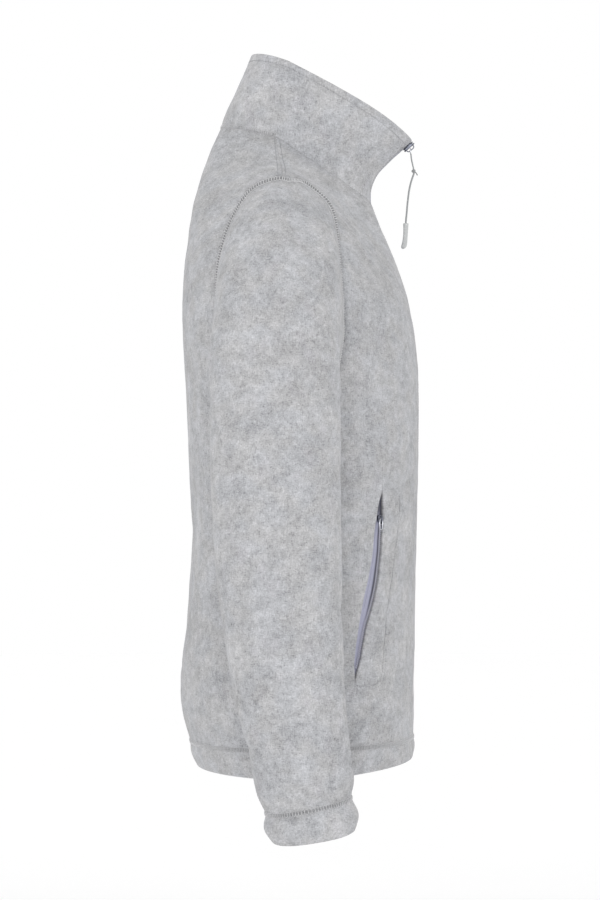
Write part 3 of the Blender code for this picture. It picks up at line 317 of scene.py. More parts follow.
def body_point(around, up, table=BODY):
    """A point on the outer face of the body or collar.

    `around` is in radians from the centre front, to the right. The shoulder's corner is as tight as its rows
    only at the side, and softer toward the centre.
    """
    if table is BODY:
        ahead = np.degrees(np.arcsin(np.clip(np.cos(around), -1.0, 1.0)))
        up = up + SHOULDER_LIFT * hump(ahead, *LIFT_AHEAD) * hump(up, *LIFT_UP)
    row = table.read(up)
    soft = BODY_SOFT.read(up) if table is BODY else row
    is_front = np.cos(around) >= 0
    power = np.where(is_front, row["front_power"], row["back_power"])
    toward = np.abs(np.cos(around)) ** (2 / power)
    aside = power_of(np.sin(around), 2 / power)
    end_y = np.where(is_front, row["front_y"], row["back_y"])
    end_z = np.where(is_front, row["front_z"], row["back_z"])
    corner = np.abs(aside) ** 3
    side_x = soft["side_x"] + (row["side_x"] - soft["side_x"]) * corner
    side_z = soft["side_z"] + (row["side_z"] - soft["side_z"]) * corner
    y = row["side_y"] + (end_y - row["side_y"]) * toward
    z = side_z + (end_z - side_z) * toward
    if table is COLLAR:
        rise = (up - NECK_SEAM) / (COLLAR_EDGE - NECK_SEAM)
        bow = np.where(is_front, COLLAR_BOW * (1 - toward**4), COLLAR_BACK_BOW * (1 - toward))
        z = z + rise * bow * toward
    return np.stack([-side_x * aside, y, z], axis=-1)


def body_frame(around, up, table=BODY):
    """The point there with its outward normal and the unit directions round and up the cloth."""
    around, up = np.broadcast_arrays(np.asarray(around, float), np.asarray(up, float))
    low, high = table.at_row[0], table.at_row[-1]
    below, above = np.maximum(up - NEXT_UP, low), np.minimum(up + NEXT_UP, high)
    rise = unit(body_point(around, above, table) - body_point(around, below, table))
    turn = unit(body_point(around + NEXT_TURN, up, table) - body_point(around - NEXT_TURN, up, table))
    normal = unit(np.cross(rise, turn))
    point = body_point(around, up, table)
    if table is BODY:
        depth = fold_depth(BODY_FOLDS, np.degrees(around), up, BODY_RADIUS)
        point = point + normal * depth[..., None]
    return point, normal, turn, rise


def zip_edge(up, out=FRONT_EDGE, table=BODY):
    """The angle at which the cloth lies this far to the side of the centre front."""
    side_x = (BODY_SOFT if table is BODY else table).read(up)["side_x"]
    return np.arcsin((out / side_x) ** (table.read(up)["front_power"] / 2))


def armhole_angle(up):
    """How far the armhole opens each way from the side seam at this height, as (front, back) radians."""
    middle, half = (UNDERARM + SHOULDER_POINT) / 2, (SHOULDER_POINT - UNDERARM) / 2
    level = np.clip((up - middle) / half, -1.0, 1.0)
    above = (1 - level**4) ** (0.5 * ARMHOLE_TOP_SQUARE)
    below = (1 - level**2) ** (0.5 * ARMHOLE_FRONT_SQUARE)
    front = math.radians(ARMHOLE_FRONT) * (1 + ARMHOLE_LEAN * level) * np.where(level > 0, above, below)
    back = math.radians(ARMHOLE_BACK) * (1 - level**2) ** (0.5 * ARMHOLE_BACK_SQUARE)
    return front, back


def armhole_up(turn):
    level = np.cos(turn) * (1 + ARMHOLE_SPREAD * np.sin(turn) ** 2)
    return (UNDERARM + SHOULDER_POINT) / 2 + (SHOULDER_POINT - UNDERARM) / 2 * level


def armhole_place(turn):
    """Where the armhole lies on the right side: 0 is the shoulder point, and a quarter on is the front."""
    up = armhole_up(turn)
    front, back = armhole_angle(up)
    return np.where(np.sin(turn) >= 0, math.pi / 2 - front, math.pi / 2 + back), up


def plain_ring(turn, along):
    """A point of the right sleeve's plain tube, before it is set into the armhole."""
    row = SLEEVE.read(along)
    toward, aside = (power_of(way(turn), 2 / row["power"]) for way in (np.cos, np.sin))
    x, z, y = (
        (row[first] + row[last]) / 2 + (row[last] - row[first]) / 2 * way
        for first, last, way in (("inner_x", "outer_x", toward), ("inner_z", "outer_z", toward),
                                 ("back_y", "front_y", aside))
    )
    return np.stack([-x, y, z + row["front_rise"] / 2 * aside], axis=-1)


def sleeve_point(turn, along):
    """A point on the right sleeve's outer face, whose first ring is the armhole."""
    turn, along = np.broadcast_arrays(np.asarray(turn, float), np.asarray(along, float))
    around, up = armhole_place(turn)
    set_in = body_point(around, up) - plain_ring(turn, np.zeros_like(along))
    share = np.clip(1 - along / SET_IN, 0.0, 1.0) ** 2
    return plain_ring(turn, along) + set_in * share[..., None]


def sleeve_frame(turn, along):
    turn, along = np.broadcast_arrays(np.asarray(turn, float), np.asarray(along, float))
    back, ahead = np.maximum(along - NEXT_ALONG, 0.0), np.minimum(along + NEXT_ALONG, CUFF_END)
    down = unit(sleeve_point(turn, ahead) - sleeve_point(turn, back))
    spin = unit(sleeve_point(turn + NEXT_SPIN, along) - sleeve_point(turn - NEXT_SPIN, along))
    normal = unit(np.cross(down, spin))
    depth = fold_depth(SLEEVE_FOLDS, np.degrees(turn), along, ARM_RADIUS)
    return sleeve_point(turn, along) + normal * depth[..., None], normal, spin, down


def armhole_mitre(turn):
    """The way through the cloth at the armhole seam, halfway between body and sleeve."""
    around, up = armhole_place(turn)
    on_body = body_frame(around, up)[1]
    on_sleeve = sleeve_frame(turn, np.full_like(turn, 0.004))[1]
    return unit(on_body + on_sleeve)


def neck_mitre(around):
    below = body_frame(around, np.full_like(around, NECK_SEAM))[1]
    above = body_frame(around, np.full_like(around, NECK_SEAM), COLLAR)[1]
    return unit(below + above)


# How the cloth is dressed: close cells, rolled edges, and the small relief that sewing leaves in it.
CELL = 0.0042  # the size of the cloth's cells
SEAM_ROLL = 0.0005  # how round a piece's edge is at a seam
NECK_ROLL = 0.00022
EDGE_STEPS = np.array((0.00006, 0.00034, 0.00078, 0.00140, 0.00230))  # where the cells beside an edge lie
SEAMS = {  # how deep each seam dips, how far that reaches, and how high its puckers stand
    "armhole": (0.00070, 0.0042, 0.00034),
    "side": (0.00050, 0.0030, 0.00025),
    "shoulder": (0.00045, 0.0034, 0.00015),
    "neck": (0.00020, 0.0030, 0.00010),
    "hem": (0.00026, 0.0034, 0.00022),
    "cuff": (0.00030, 0.0034, 0.00034),
    "collar row": (0.00032, 0.0011, 0.0),
    "collar front row": (0.00032, 0.0011, 0.0),
    "front row": (0.00032, 0.0011, 0.0),
}
PAINTED_SEAM_SHADE = {  # painted shade beside each row of stitches, where it sinks into the cloth: how dark, and how far it reaches
    "armhole": (0.45, 0.0045),
    "hem": (0.12, 0.0026),
    "cuff": (0.14, 0.0026),
    "collar row": (0.20, 0.0009),
    "collar front row": (0.20, 0.0009),
    "front row": (0.20, 0.0009),
}
MITRE_REACH = 0.008  # the cloth turns toward its neighbour this near a seam
SOFTNESS = ((0.00055, 0.110, 3), (0.00024, 0.034, 4), (0.00008, 0.012, 5))  # height, size and seed
COLLAR_STITCH = 0.0085  # below the collar's edge
FRONT_STITCH = 0.0042  # beside the front's edge
STITCH_CELLS = np.array((-0.0018, -0.0009, -0.0004, 0.0, 0.0004, 0.0009, 0.0018))  # beside stitches
LOOP_CELL, CUFF_CELL = 0.0034, 0.0028  # the size of the cells round the hem and collar, and round a cuff
# The puckers' pitch, how far it wanders over what length, and the length over which they swell and fade.
PUCKER_PITCH, PUCKER_WANDER, PUCKER_DRIFT, PUCKER_SWELL = 0.0105, 2.1, 0.047, 0.1269
PUCKER_AT, PUCKER_REACH = 0.0075, 0.0065  # how far from the seam the puckers stand, and how wide they are

# Small creases, in the same columns as the folds.
BODY_CREASES = (
    ("off the pocket's head", 38, 0.293, 20, 0.297, 0.006, -0.0009),
    ("under the pocket", 58, 0.070, 47, 0.052, 0.018, -0.0012),
    ("beside the pocket", 44, 0.215, 47, 0.120, 0.016, -0.0008),
    ("chest", 40, 0.470, 36, 0.400, 0.020, -0.0010),
    ("front of the armhole", 62, 0.520, 57, 0.430, 0.026, -0.0014),
    ("under the arm", 100, 0.350, 108, 0.240, 0.020, -0.0018),
    ("behind the armhole", 128, 0.505, 132, 0.430, 0.014, -0.0016),
    ("behind the left armhole", -126, 0.500, -131, 0.420, 0.015, -0.0015),
    ("low back", 165, 0.120, 188, 0.085, 0.024, -0.0014),
    ("above the hem, right", 118, 0.060, 138, 0.044, 0.016, -0.0012),
    ("above the hem, left", -112, 0.064, -140, 0.046, 0.018, -0.0012),
    ("across the shoulders", 150, 0.560, 205, 0.575, 0.034, -0.0010),
    ("beside the right sleeve", 133, 0.455, 141, 0.315, 0.022, -0.0036),
    ("beside the right sleeve, low", 141, 0.300, 124, 0.095, 0.020, -0.0034),
    ("beside the left sleeve", -131, 0.445, -139, 0.305, 0.022, -0.0034),
    ("beside the left sleeve, low", -140, 0.285, -125, 0.100, 0.020, -0.0031),
    ("before the right sleeve", 66, 0.500, 71, 0.300, 0.018, -0.0014),
    ("before the left sleeve", -65, 0.485, -70, 0.290, 0.018, -0.0013),
)
SLEEVE_CREASES = (
    ("back of the cap", 300, 0.060, 288, 0.130, 0.016, -0.0014),
    ("under the cap", 250, 0.120, 262, 0.200, 0.016, -0.0016),
    ("inside of the elbow", 95, 0.395, 150, 0.425, 0.016, -0.0018),
    ("inside of the elbow, low", 100, 0.450, 160, 0.470, 0.016, -0.0015),
    ("outer forearm", 10, 0.470, 352, 0.540, 0.022, -0.0010),
    ("into the cuff", 8, 0.565, 4, 0.612, 0.010, -0.0016),
    ("into the cuff, front", 40, 0.580, 33, 0.614, 0.010, -0.0012),
    ("into the cuff, back", 330, 0.575, 338, 0.613, 0.011, -0.0012),
    ("into the cuff, inner", 195, 0.570, 188, 0.612, 0.012, -0.0014),
    ("over the elbow", 330, 0.420, 20, 0.445, 0.030, -0.0010),
)

BATCH = 2048  # how many places are measured against a line at once


class Line:
    """A line through close points: how near places are to it, and how far along it they lie."""

    def __init__(self, points, ways=None):
        self.points = np.asarray(points, float)
        self.run = run_of(self.points)
        self.ways = ways

    def near(self, places):
        shape = places.shape[:-1]
        places = places.reshape(-1, 3)
        nearest = np.empty(len(places), int)
        for first in range(0, len(places), BATCH):
            some = places[first:first + BATCH]
            away = (self.points**2).sum(axis=1) - 2 * some @ self.points.T
            nearest[first:first + BATCH] = away.argmin(axis=1)
        gap, run = np.full(len(places), np.inf), np.zeros(len(places))
        for start in (nearest - 1, nearest):
            start = np.clip(start, 0, len(self.points) - 2)
            origin, step = self.points[start], self.points[start + 1] - self.points[start]
            length = np.maximum((step**2).sum(axis=1), 1e-16)
            share = np.clip(((places - origin) * step).sum(axis=1) / length, 0.0, 1.0)
            away = np.linalg.norm(places - origin - step * share[:, None], axis=1)
            run = np.where(away < gap, self.run[start] + share * (self.run[start + 1] - self.run[start]), run)
            gap = np.minimum(gap, away)
        return gap.reshape(shape), run.reshape(shape)

    def way(self, run):
        """The way through the cloth at the seam there."""
        return unit(read_at(run, self.run, self.ways))


def waves(places, size, seed):
    """A gentle unevenness of about 1 each way, from waves that cross in all directions."""
    count = 16
    draw = np.random.default_rng(seed)
    ways = unit(draw.normal(size=(count, 3))) * (2 * math.pi / size) * draw.uniform(0.6, 1.5, (count, 1))
    total = np.zeros(places.shape[:-1])
    for way, phase in zip(ways, draw.uniform(0, 2 * math.pi, count)):
        total += np.sin(places @ way + phase)
    return total * math.sqrt(2 / count) * 0.6


def along_line(points, places):
    """Each column of values that belongs to these points, read at shares of the way along their line."""
    run = run_of(points)
    return lambda *values: [np.interp(places * run[-1], run, value) for value in values]


def close_turns(start, end, count):
    """Turns round the armhole, in halves from its top, and closest together where it bends most."""
    half = np.linspace(start, end, count)
    return math.pi * half - 0.995 * np.sin(2 * math.pi * half) / 2


def even_turns(count):
    """Turns at even distances round the armhole."""
    turns = close_turns(0.0, 2.0, 4001)
    return along_line(body_frame(*armhole_place(turns))[0], np.linspace(0, 1, count))(turns)[0]


def seam_lines():
    """The seams on the jacket's right side, by name."""
    loop = np.linspace(0.0, math.pi, 900)
    turns = close_turns(0.0, 2.0, 1801)
    low, high = np.linspace(HEM_SEAM, UNDERARM, 200), np.linspace(SHOULDER_POINT, NECK_SEAM, 80)
    aside = math.pi / 2
    beside = FRONT_EDGE + FRONT_STITCH
    front_up = np.linspace(0.0, NECK_SEAM, 300)
    collar_up = np.linspace(NECK_SEAM, COLLAR_EDGE - COLLAR_STITCH, 60)
    collar_start = zip_edge(collar_up[-1], beside, COLLAR)
    collar_turns = collar_start + (math.pi - collar_start) * np.linspace(0, 1, 400)
    return {
        "armhole": Line(body_frame(*armhole_place(turns))[0], armhole_mitre(turns)),
        "side": Line(body_frame(np.full_like(low, aside), low)[0]),
        "shoulder": Line(body_frame(np.full_like(high, aside), high)[0]),
        "neck": Line(body_frame(loop, np.full_like(loop, NECK_SEAM))[0], neck_mitre(loop)),
        "hem": Line(body_frame(loop, np.full_like(loop, HEM_SEAM))[0]),
        "cuff": Line(sleeve_frame(turns, np.full_like(turns, CUFF_SEAM))[0]),
        "collar row": Line(body_frame(collar_turns, collar_up[-1], COLLAR)[0]),
        "collar front row": Line(body_frame(zip_edge(collar_up, beside, COLLAR), collar_up, COLLAR)[0]),
        "front row": Line(body_frame(zip_edge(front_up, beside), front_up)[0]),
    }


def on_right(places):
    """The same places on the jacket's right side, where the seam lines are."""
    folded = places.copy()
    folded[..., 0] = -np.abs(folded[..., 0])
    return folded


def seam_relief(places, names):
    """How far the cloth is drawn in at its seams, with the uneven puckers beside them."""
    out = np.zeros(places.shape[:-1])
    for name in names:
        dip, reach, pucker = SEAMS[name]
        gap, run = SEAM_LINES[name].near(on_right(places))
        run = 2 * math.pi * run
        swing = np.sin(run / PUCKER_PITCH + PUCKER_WANDER * np.sin(run / PUCKER_DRIFT))
        strength = 0.55 + 0.45 * np.sin(run / PUCKER_SWELL)
        out += pucker * swing * strength * bell(gap - PUCKER_AT, PUCKER_REACH) - dip * bell(gap, reach)
    return out


def toward_mitre(places, normal, name):
    """The way through the cloth, turned to the seam's own way close to that seam."""
    gap, run = SEAM_LINES[name].near(on_right(places))
    way = SEAM_LINES[name].way(run)
    way[..., 0] = np.where(places[..., 0] > 0, -way[..., 0], way[..., 0])
    share = np.clip(1 - gap / MITRE_REACH, 0.0, 1.0)[..., None] ** 2
    return unit(normal * (1 - share) + way * share)


def softness(places, side):
    """The cloth's own gentle unevenness, different on the two sides."""
    return sum(height * waves(to_side(places, side), size, seed) for height, size, seed in SOFTNESS)


def to_side(points, side):
    """Points made for the right side, put on the side asked for."""
    return points if side > 0 else points * np.array([-1.0, 1.0, 1.0])


def seam_shade_at(places):
    """How much painted shade the rows of stitches put on the cloth at each place, from 0 to 1."""
    gaps = {name: SEAM_LINES[name].near(on_right(places))[0] for name in PAINTED_SEAM_SHADE}
    return np.max([share * bell(gaps[name], reach) for name, (share, reach) in PAINTED_SEAM_SHADE.items()], axis=0)


def body_cloth(around, up, table=BODY, side=1):
    """A point on the finished outer face of the body or collar, and the way through the cloth there."""
    around, up = np.broadcast_arrays(np.asarray(around, float), np.asarray(up, float))
    point, normal, _, _ = body_frame(around, up, table)
    if table is BODY:
        names = ("armhole", "side", "shoulder", "neck", "hem", "front row")
        depth = fold_depth(BODY_CREASES, np.degrees(around) * side, up, BODY_RADIUS)
        normal = toward_mitre(point, normal, "armhole")
    else:
        names, depth = ("neck", "collar row", "collar front row"), 0.0
    normal = toward_mitre(point, normal, "neck")
    depth = depth + softness(point, side) * fade(up, 0.0, 0.02) + seam_relief(point, names)
    return point + normal * depth[..., None], normal


def sleeve_cloth(turn, along, side=1):
    """A point on the finished outer face of the right sleeve or cuff, and the way through the cloth there."""
    turn, along = np.broadcast_arrays(np.asarray(turn, float), np.asarray(along, float))
    point, normal, _, _ = sleeve_frame(turn, along)
    normal = toward_mitre(point, normal, "armhole")
    depth = fold_depth(SLEEVE_CREASES, np.degrees(turn), along, CREASE_RADIUS)
    depth = depth + softness(point, side) + seam_relief(point, ("armhole", "cuff"))
    return point + normal * depth[..., None], normal


SEAM_LINES = seam_lines()


# Making objects.

DRESS = bpy.data.collections.new("dressed_jacket")
bpy.context.scene.collection.children.link(DRESS)


def add_piece(name, points, quads, look, body="garment", replaces=(), grain=None, painted_shade=None,
              triangles=()):
    """A mesh from points and faces that rides on a body. `grain` is where each point lies in its cloth."""
    points = np.asarray(points, float).reshape(-1, 3)
    quads = np.asarray(quads, np.int32).reshape(-1, 4)
    triangles = np.asarray(triangles, np.int32).reshape(-1, 3)
    mesh = bpy.data.meshes.new(name)
    mesh.vertices.add(len(points))
    mesh.vertices.foreach_set("co", points.astype(np.float32).ravel())
    corners = np.concatenate([quads.ravel(), triangles.ravel()])
    sizes = np.concatenate([np.full(len(quads), 4), np.full(len(triangles), 3)])
    mesh.loops.add(len(corners))
    mesh.loops.foreach_set("vertex_index", corners.astype(np.int32))
    mesh.polygons.add(len(sizes))
    mesh.polygons.foreach_set("loop_start", np.concatenate([[0], np.cumsum(sizes)[:-1]]).astype(np.int32))
    mesh.update(calc_edges=True)
    mesh.validate()
    mesh.shade_smooth()
    mesh.materials.append(look)
    # Each point's place in its cloth, and its painted shade.
    for title, kind, field, values in (("grain", "FLOAT_VECTOR", "vector", grain),
                                       ("painted_shade", "FLOAT", "value", painted_shade)):
        if values is not None:
            held = mesh.attributes.new(title, kind, "POINT")
            held.data.foreach_set(field, np.asarray(values, np.float32).ravel())
    made = bpy.data.objects.new(name, mesh)
    DRESS.objects.link(made)
    if replaces:
        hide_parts(*replaces)
    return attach(made, body)


def side_name(name, side):
    return f"{name}_{'right' if side > 0 else 'left'}"


def rolled(gap, radius):
    """How far a face drops toward the middle of the cloth, this near an edge of that roundness."""
    share = 1 - np.clip(gap / radius, 0.0, 1.0)
    return 0.88 * radius * (1 - np.sqrt(1 - share**2))


def rolled_faces(point, normal, thickness, edges):
    """The outer and inner faces of cloth whose edges, each a line and its roundness, are rolled over."""
    drop = np.max([rolled(Line(edge).near(point)[0], roll) for edge, roll in edges], axis=0)[..., None]
    return point - normal * drop, point - normal * (thickness - drop)


def shell(name, outer, inner, grain, look, closed=False, hole=None, side=1, replaces=(),
          painted_shade=None):
    """A closed thin shell between two grids of points. `hole` is the rows and columns of cells to leave out.

    Its painted shade at each point may be given, where that isn't the painted shade beside its seams.
    """
    rows, columns = outer.shape[:2]
    count = rows * columns
    index = np.arange(count).reshape(rows, columns)
    if closed:
        index = np.hstack([index, index[:, :1]])
    cells = np.stack([index[:-1, :-1], index[:-1, 1:], index[1:, 1:], index[1:, :-1]], axis=-1)
    kept = np.ones(cells.shape[:2], bool)
    if hole:
        kept[hole[0], hole[1]] = False
    cells = cells[kept]
    edges = np.concatenate([cells[:, [i, (i + 1) % 4]] for i in range(4)])
    key, back_key = edges[:, 0] * count + edges[:, 1], edges[:, 1] * count + edges[:, 0]
    rim = edges[~np.isin(key, back_key)]
    walls = np.stack([rim[:, 1], rim[:, 0], rim[:, 0] + count, rim[:, 1] + count], axis=1)
    quads = np.concatenate([cells, cells[:, ::-1] + count, walls])
    points = np.concatenate([outer.reshape(-1, 3), inner.reshape(-1, 3)])
    used = np.unique(quads)
    place = np.full(len(points), -1)
    place[used] = np.arange(len(used))
    grain = np.concatenate([grain.reshape(-1, 3)] * 2)[used]
    painted_shade = seam_shade_at(outer) if painted_shade is None else painted_shade
    painted_shade = np.concatenate([np.ravel(painted_shade)] * 2)[used]
    points, quads = to_side(points[used], side), place[quads]
    a, b, c = (points[quads[:, i]] for i in range(3))
    if (np.cross(a, b) * c).sum() < 0:
        quads = quads[:, ::-1]
    return add_piece(name, points, quads, look, grain=grain, painted_shade=painted_shade, replaces=replaces)


def spaced(length, size=CELL, near=(True, True), also=()):
    """Places along a length: even cells, close ones near the ends asked for, and also these places."""
    steps = EDGE_STEPS
    first, last = steps[-1] * near[0], length - steps[-1] * near[1]
    middle = np.linspace(first, last, max(2, round((last - first) / size) + 1))
    start, end = steps[:-1] if near[0] else [], length - steps[-2::-1] if near[1] else []
    places = np.concatenate([start, middle, end])
    if len(also):
        far = np.abs(places[:, None] - np.asarray(also)[None, :]).min(axis=1) > CELL / 6
        places = np.sort(np.concatenate([places[far], also]))
    return places


# The panels and bands.

FRONT_CELLS, WELT_CELLS, SIDE_CELLS, BACK_CELLS = 33, 7, 23, 57  # columns from the zip on to the centre back
STEADY_UP = 0.40  # above this height the front's rows aren't moved to the pocket's ends
LEVEL_UP = (0.50, 0.66)  # between these heights the cloth comes to lie more level, over the shoulders
EDGE_TURN = 0.01  # how far each way the cloth is measured to move along it
SLIT_MIDDLE = 0.35  # where the slit's ends close, as a share of its width
SLIT_LEAST, FOOT_EASE, HEAD_EASE = 0.03, 0.018, 0.016  # how open its ends are, and how soon it is fully open


def side_edge(facing):
    """Angles and heights up a panel's side: its side seam, its half of the armhole, and its shoulder seam."""
    low, high = np.linspace(HEM_SEAM, UNDERARM, 60), np.linspace(SHOULDER_POINT, NECK_SEAM, 40)
    stretches = []
    armhole = armhole_place(facing * close_turns(1.0, 0.0, 1500))
    aside = math.pi / 2
    for around, up in ((np.full_like(low, aside), low), armhole, (np.full_like(high, aside), high)):
        line = body_frame(around, up)[0]
        length = run_of(line)[-1]
        places = spaced(length, near=(not stretches, len(stretches) == 2)) / length
        stretches.append(along_line(line, places)(around, up))
    stretches[1] = [values[1:-1] for values in stretches[1]]
    return [np.concatenate(values) for values in zip(*stretches)]


def eased(up):
    """The heights of the same rows away from the armhole, where they're evenly spaced."""
    reach = 12
    padded = np.concatenate([2 * up[0] - up[reach:0:-1], up, 2 * up[-1] - up[-2:-reach - 2:-1]])
    window = np.hanning(2 * reach + 3)[1:-1]
    smooth = np.convolve(padded, window / window.sum(), mode="valid")
    share = fade(up, 0.20, 0.30) * (1 - fade(up, 0.675, 0.715))
    return up + (smooth - up) * share


def moved_in(around, up, inward):
    """Angles moved this far along the cloth from an edge, toward larger angles for a positive distance."""
    ahead, behind = body_point(around + EDGE_TURN, up), body_point(around - EDGE_TURN, up)
    return around + inward * 2 * EDGE_TURN / np.linalg.norm(ahead - behind, axis=-1)


def columns_at(around, up, steps):
    """A column of angles for each of these distances along the cloth from an edge."""
    return np.stack([moved_in(around, up, step) for step in steps], axis=1)


def between(first, last, steps):
    """Values from one column's to another's, at these shares."""
    return first[:, None] + (last - first)[:, None] * np.asarray(steps)[None, :]


def pinched(up):
    """How open the pocket's slit is at a height: closed at its ends, and fully open a short way from them."""
    away = np.minimum(np.abs(up - SLIT_FOOT) / FOOT_EASE, np.abs(SLIT_HEAD - up) / HEAD_EASE)
    return SLIT_LEAST + (1 - SLIT_LEAST) * fade(away, -0.10, 1.0)


def pocket_lines(up):
    """The angles of the welt's stitched edge and of the slit's front and back edges."""
    place = POCKET.read(up)
    front, behind = np.radians(place["slit_front"]), np.radians(place["slit_back"])
    open_share = pinched(up)
    middle = front + (behind - front) * SLIT_MIDDLE
    front = middle + (front - middle) * open_share
    behind = middle + (behind - middle) * open_share
    return np.radians(place["welt_edge"]), front, behind


def front_mesh():
    """Angles and heights of the right front's cells, and where in them its slit lies."""
    side_around, side_up = side_edge(1)
    up = eased(side_up)
    foot, head = np.abs(up - SLIT_FOOT).argmin(), np.abs(up - SLIT_HEAD).argmin()
    up = np.interp(up, [HEM_SEAM, up[foot], up[head], STEADY_UP, NECK_SEAM],
                   [HEM_SEAM, SLIT_FOOT, SLIT_HEAD, STEADY_UP, NECK_SEAM])
    welt, slit_front, slit_back = pocket_lines(up)
    near_zip = columns_at(zip_edge(up), up, [0.0, *EDGE_STEPS[1:], *(FRONT_STITCH + STITCH_CELLS)])
    before_side = columns_at(side_around, side_up, -EDGE_STEPS[::-1])
    before_slit = columns_at(slit_front, up, [*-EDGE_STEPS[::-1], 0.0])
    after_slit = columns_at(slit_back, up, [0.0, *EDGE_STEPS])
    to_welt, to_slit, to_side_seam = (np.linspace(0, 1, cells + 1)[1:]
                                      for cells in (FRONT_CELLS, WELT_CELLS, SIDE_CELLS))
    parts = [near_zip, between(near_zip[:, -1], welt, to_welt),
             between(welt, before_slit[:, 0], to_slit[:-1]), before_slit,
             between(slit_front, slit_back, (0.25, 0.5, 0.75)), after_slit,
             between(after_slit[:, -1], before_side[:, 0], to_side_seam[:-1]), before_side]
    around = np.hstack(parts)
    first = sum(part.shape[1] for part in parts[:4]) - 1
    last = first + 4
    start = (around - slit_back[:, None]) / (side_around - slit_back)[:, None]
    heights = up[:, None] + (side_up - up)[:, None] * np.clip(start, 0.0, 1.0)
    return around, heights, (slice(foot, head), slice(first, last))


def grain_of(point, piece, flat=0.0):
    """Where each point lies in its cloth, which is a different part of it for each piece.

    `flat` is how level the cloth lies there, from 0 to 1.
    """
    return np.stack([point[..., 0] * (1 - 0.75 * flat) + 1.3 * piece, point[..., 1], point[..., 2]], axis=-1)


def front(side, look):
    around, up, hole = front_mesh()
    point, normal = body_cloth(around, up, side=side)
    rows, columns = slice(hole[0].start, hole[0].stop + 1), hole[1]
    free = (point[:, 0], point[rows, columns.start], point[rows, columns.stop])
    edges = [(edge, FLEECE / 2) for edge in free]
    edges += [(point[0], SEAM_ROLL), (point[-1], NECK_ROLL), (point[:, -1], SEAM_ROLL)]
    outer, inner = rolled_faces(point, normal, FLEECE, edges)
    name = side_name("front", side)
    grain = grain_of(point, 1 + side, fade(up, *LEVEL_UP))
    return shell(f"{name}_panel", outer, inner, grain, look, hole=hole, side=side, replaces=(name,))


def back(look):
    side_around, side_up = side_edge(-1)
    up = eased(side_up)
    before_side = columns_at(side_around, side_up, EDGE_STEPS[::-1])
    centre = np.full_like(side_around, math.pi)
    half = between(centre, before_side[:, 0], np.linspace(0, 1, BACK_CELLS + 1)[:-1])
    half = np.hstack([half, before_side])
    share = (half - math.pi) / (side_around - math.pi)[:, None]
    heights = up[:, None] + (side_up - up)[:, None] * share
    around = np.hstack([half[:, ::-1], 2 * math.pi - half[:, 1:]])
    heights = np.hstack([heights[:, ::-1], heights[:, 1:]])
    point, normal = body_cloth(around, heights)
    edges = [(edge, SEAM_ROLL) for edge in (point[0], point[:, 0], point[:, -1])]
    outer, inner = rolled_faces(point, normal, FLEECE, [*edges, (point[-1], NECK_ROLL)])
    grain = grain_of(point, 5, fade(heights, *LEVEL_UP))
    return shell("back_panel", outer, inner, grain, look, replaces=("back",))


def loop_mesh(levels, table):
    """Angles round the body from one front edge to the other, for each of these levels."""
    dense = np.linspace(0, 1, 600)
    start = zip_edge(levels[len(levels) // 2], table=table)
    line = body_frame(start + (2 * math.pi - 2 * start) * dense, levels[-1], table)[0]
    length = run_of(line)[-1]
    sewn_at = FRONT_STITCH + STITCH_CELLS
    places = spaced(length, LOOP_CELL, also=[*sewn_at, *(length - sewn_at)]) - EDGE_STEPS[0]
    shares, = along_line(line, places / (length - 2 * EDGE_STEPS[0]))(dense)
    starts = zip_edge(levels, table=table)
    return starts[:, None] + (2 * math.pi - 2 * starts)[:, None] * shares


def band(name, levels, table, thickness, piece, look, seam_row, replaces):
    """A doubled band round the body: the hem or the collar. `seam_row` is the row sewn to the panels."""
    point, normal = body_cloth(loop_mesh(levels, table), levels[:, None], table)
    free_row = point[-1] if seam_row == 0 else point[0]
    edges = [(edge, thickness / 2) for edge in (free_row, point[:, 0], point[:, -1])]
    edges.append((point[seam_row], NECK_ROLL if table is COLLAR else SEAM_ROLL))
    outer, inner = rolled_faces(point, normal, thickness, edges)
    return shell(name, outer, inner, grain_of(point, piece), look, replaces=replaces)


def hem(look):
    bottom = [0.0, 0.0003, 0.0008, 0.0015, 0.0023]
    levels = [bottom, np.linspace(0.0045, HEM_SEAM - EDGE_STEPS[-1], 11), HEM_SEAM - EDGE_STEPS[-2::-1]]
    return band("hem_band", np.concatenate(levels), BODY, HEM_CLOTH, 7, look, -1, ("hem",))


def collar(look):
    top = COLLAR_EDGE - np.array([0.0052, 0.0037, 0.0023, 0.0015, 0.0008, 0.0003, 0.0])
    row = COLLAR_EDGE - COLLAR_STITCH
    levels = np.concatenate([NECK_SEAM + EDGE_STEPS, np.linspace(NECK_SEAM + 0.005, row - 0.003, 24),
                             row + STITCH_CELLS, top])
    return band("collar_shell", levels, COLLAR, COLLAR_CLOTH, 9, look, 0, ("collar",))


def tube(name, side, places, rolls, thickness, piece, look, size, replaces):
    """A sleeve or cuff: rings at distances down the arm. `rolls` are its edge rows and how round each is."""
    dense = np.linspace(0, 2 * math.pi, 721)
    ring = sleeve_frame(dense, places[len(places) // 3])[0]
    count = round(run_of(ring)[-1] / size)
    turns = along_line(ring, np.linspace(0, 1, count + 1)[:-1])(dense)[0][None, :]
    share = np.clip(1 - places / SET_IN, 0.0, 1.0)[:, None] ** 2
    turns = turns + (even_turns(count + 1)[None, :-1] - turns) * share
    point, normal = sleeve_cloth(turns, places[:, None], side)
    edges = [(np.vstack([point[row], point[row, :1]]), roll) for row, roll in rolls.items()]
    outer, inner = rolled_faces(point, normal, thickness, edges)
    return shell(name, outer, inner, grain_of(point, piece), look, closed=True, side=side, replaces=replaces)


def sleeve(side, look):
    name = side_name("sleeve", side)
    rolls = {0: SEAM_ROLL, -1: SEAM_ROLL}
    return tube(f"{name}_tube", side, spaced(CUFF_SEAM), rolls, FLEECE, 12 + side, look, CELL, (name,))


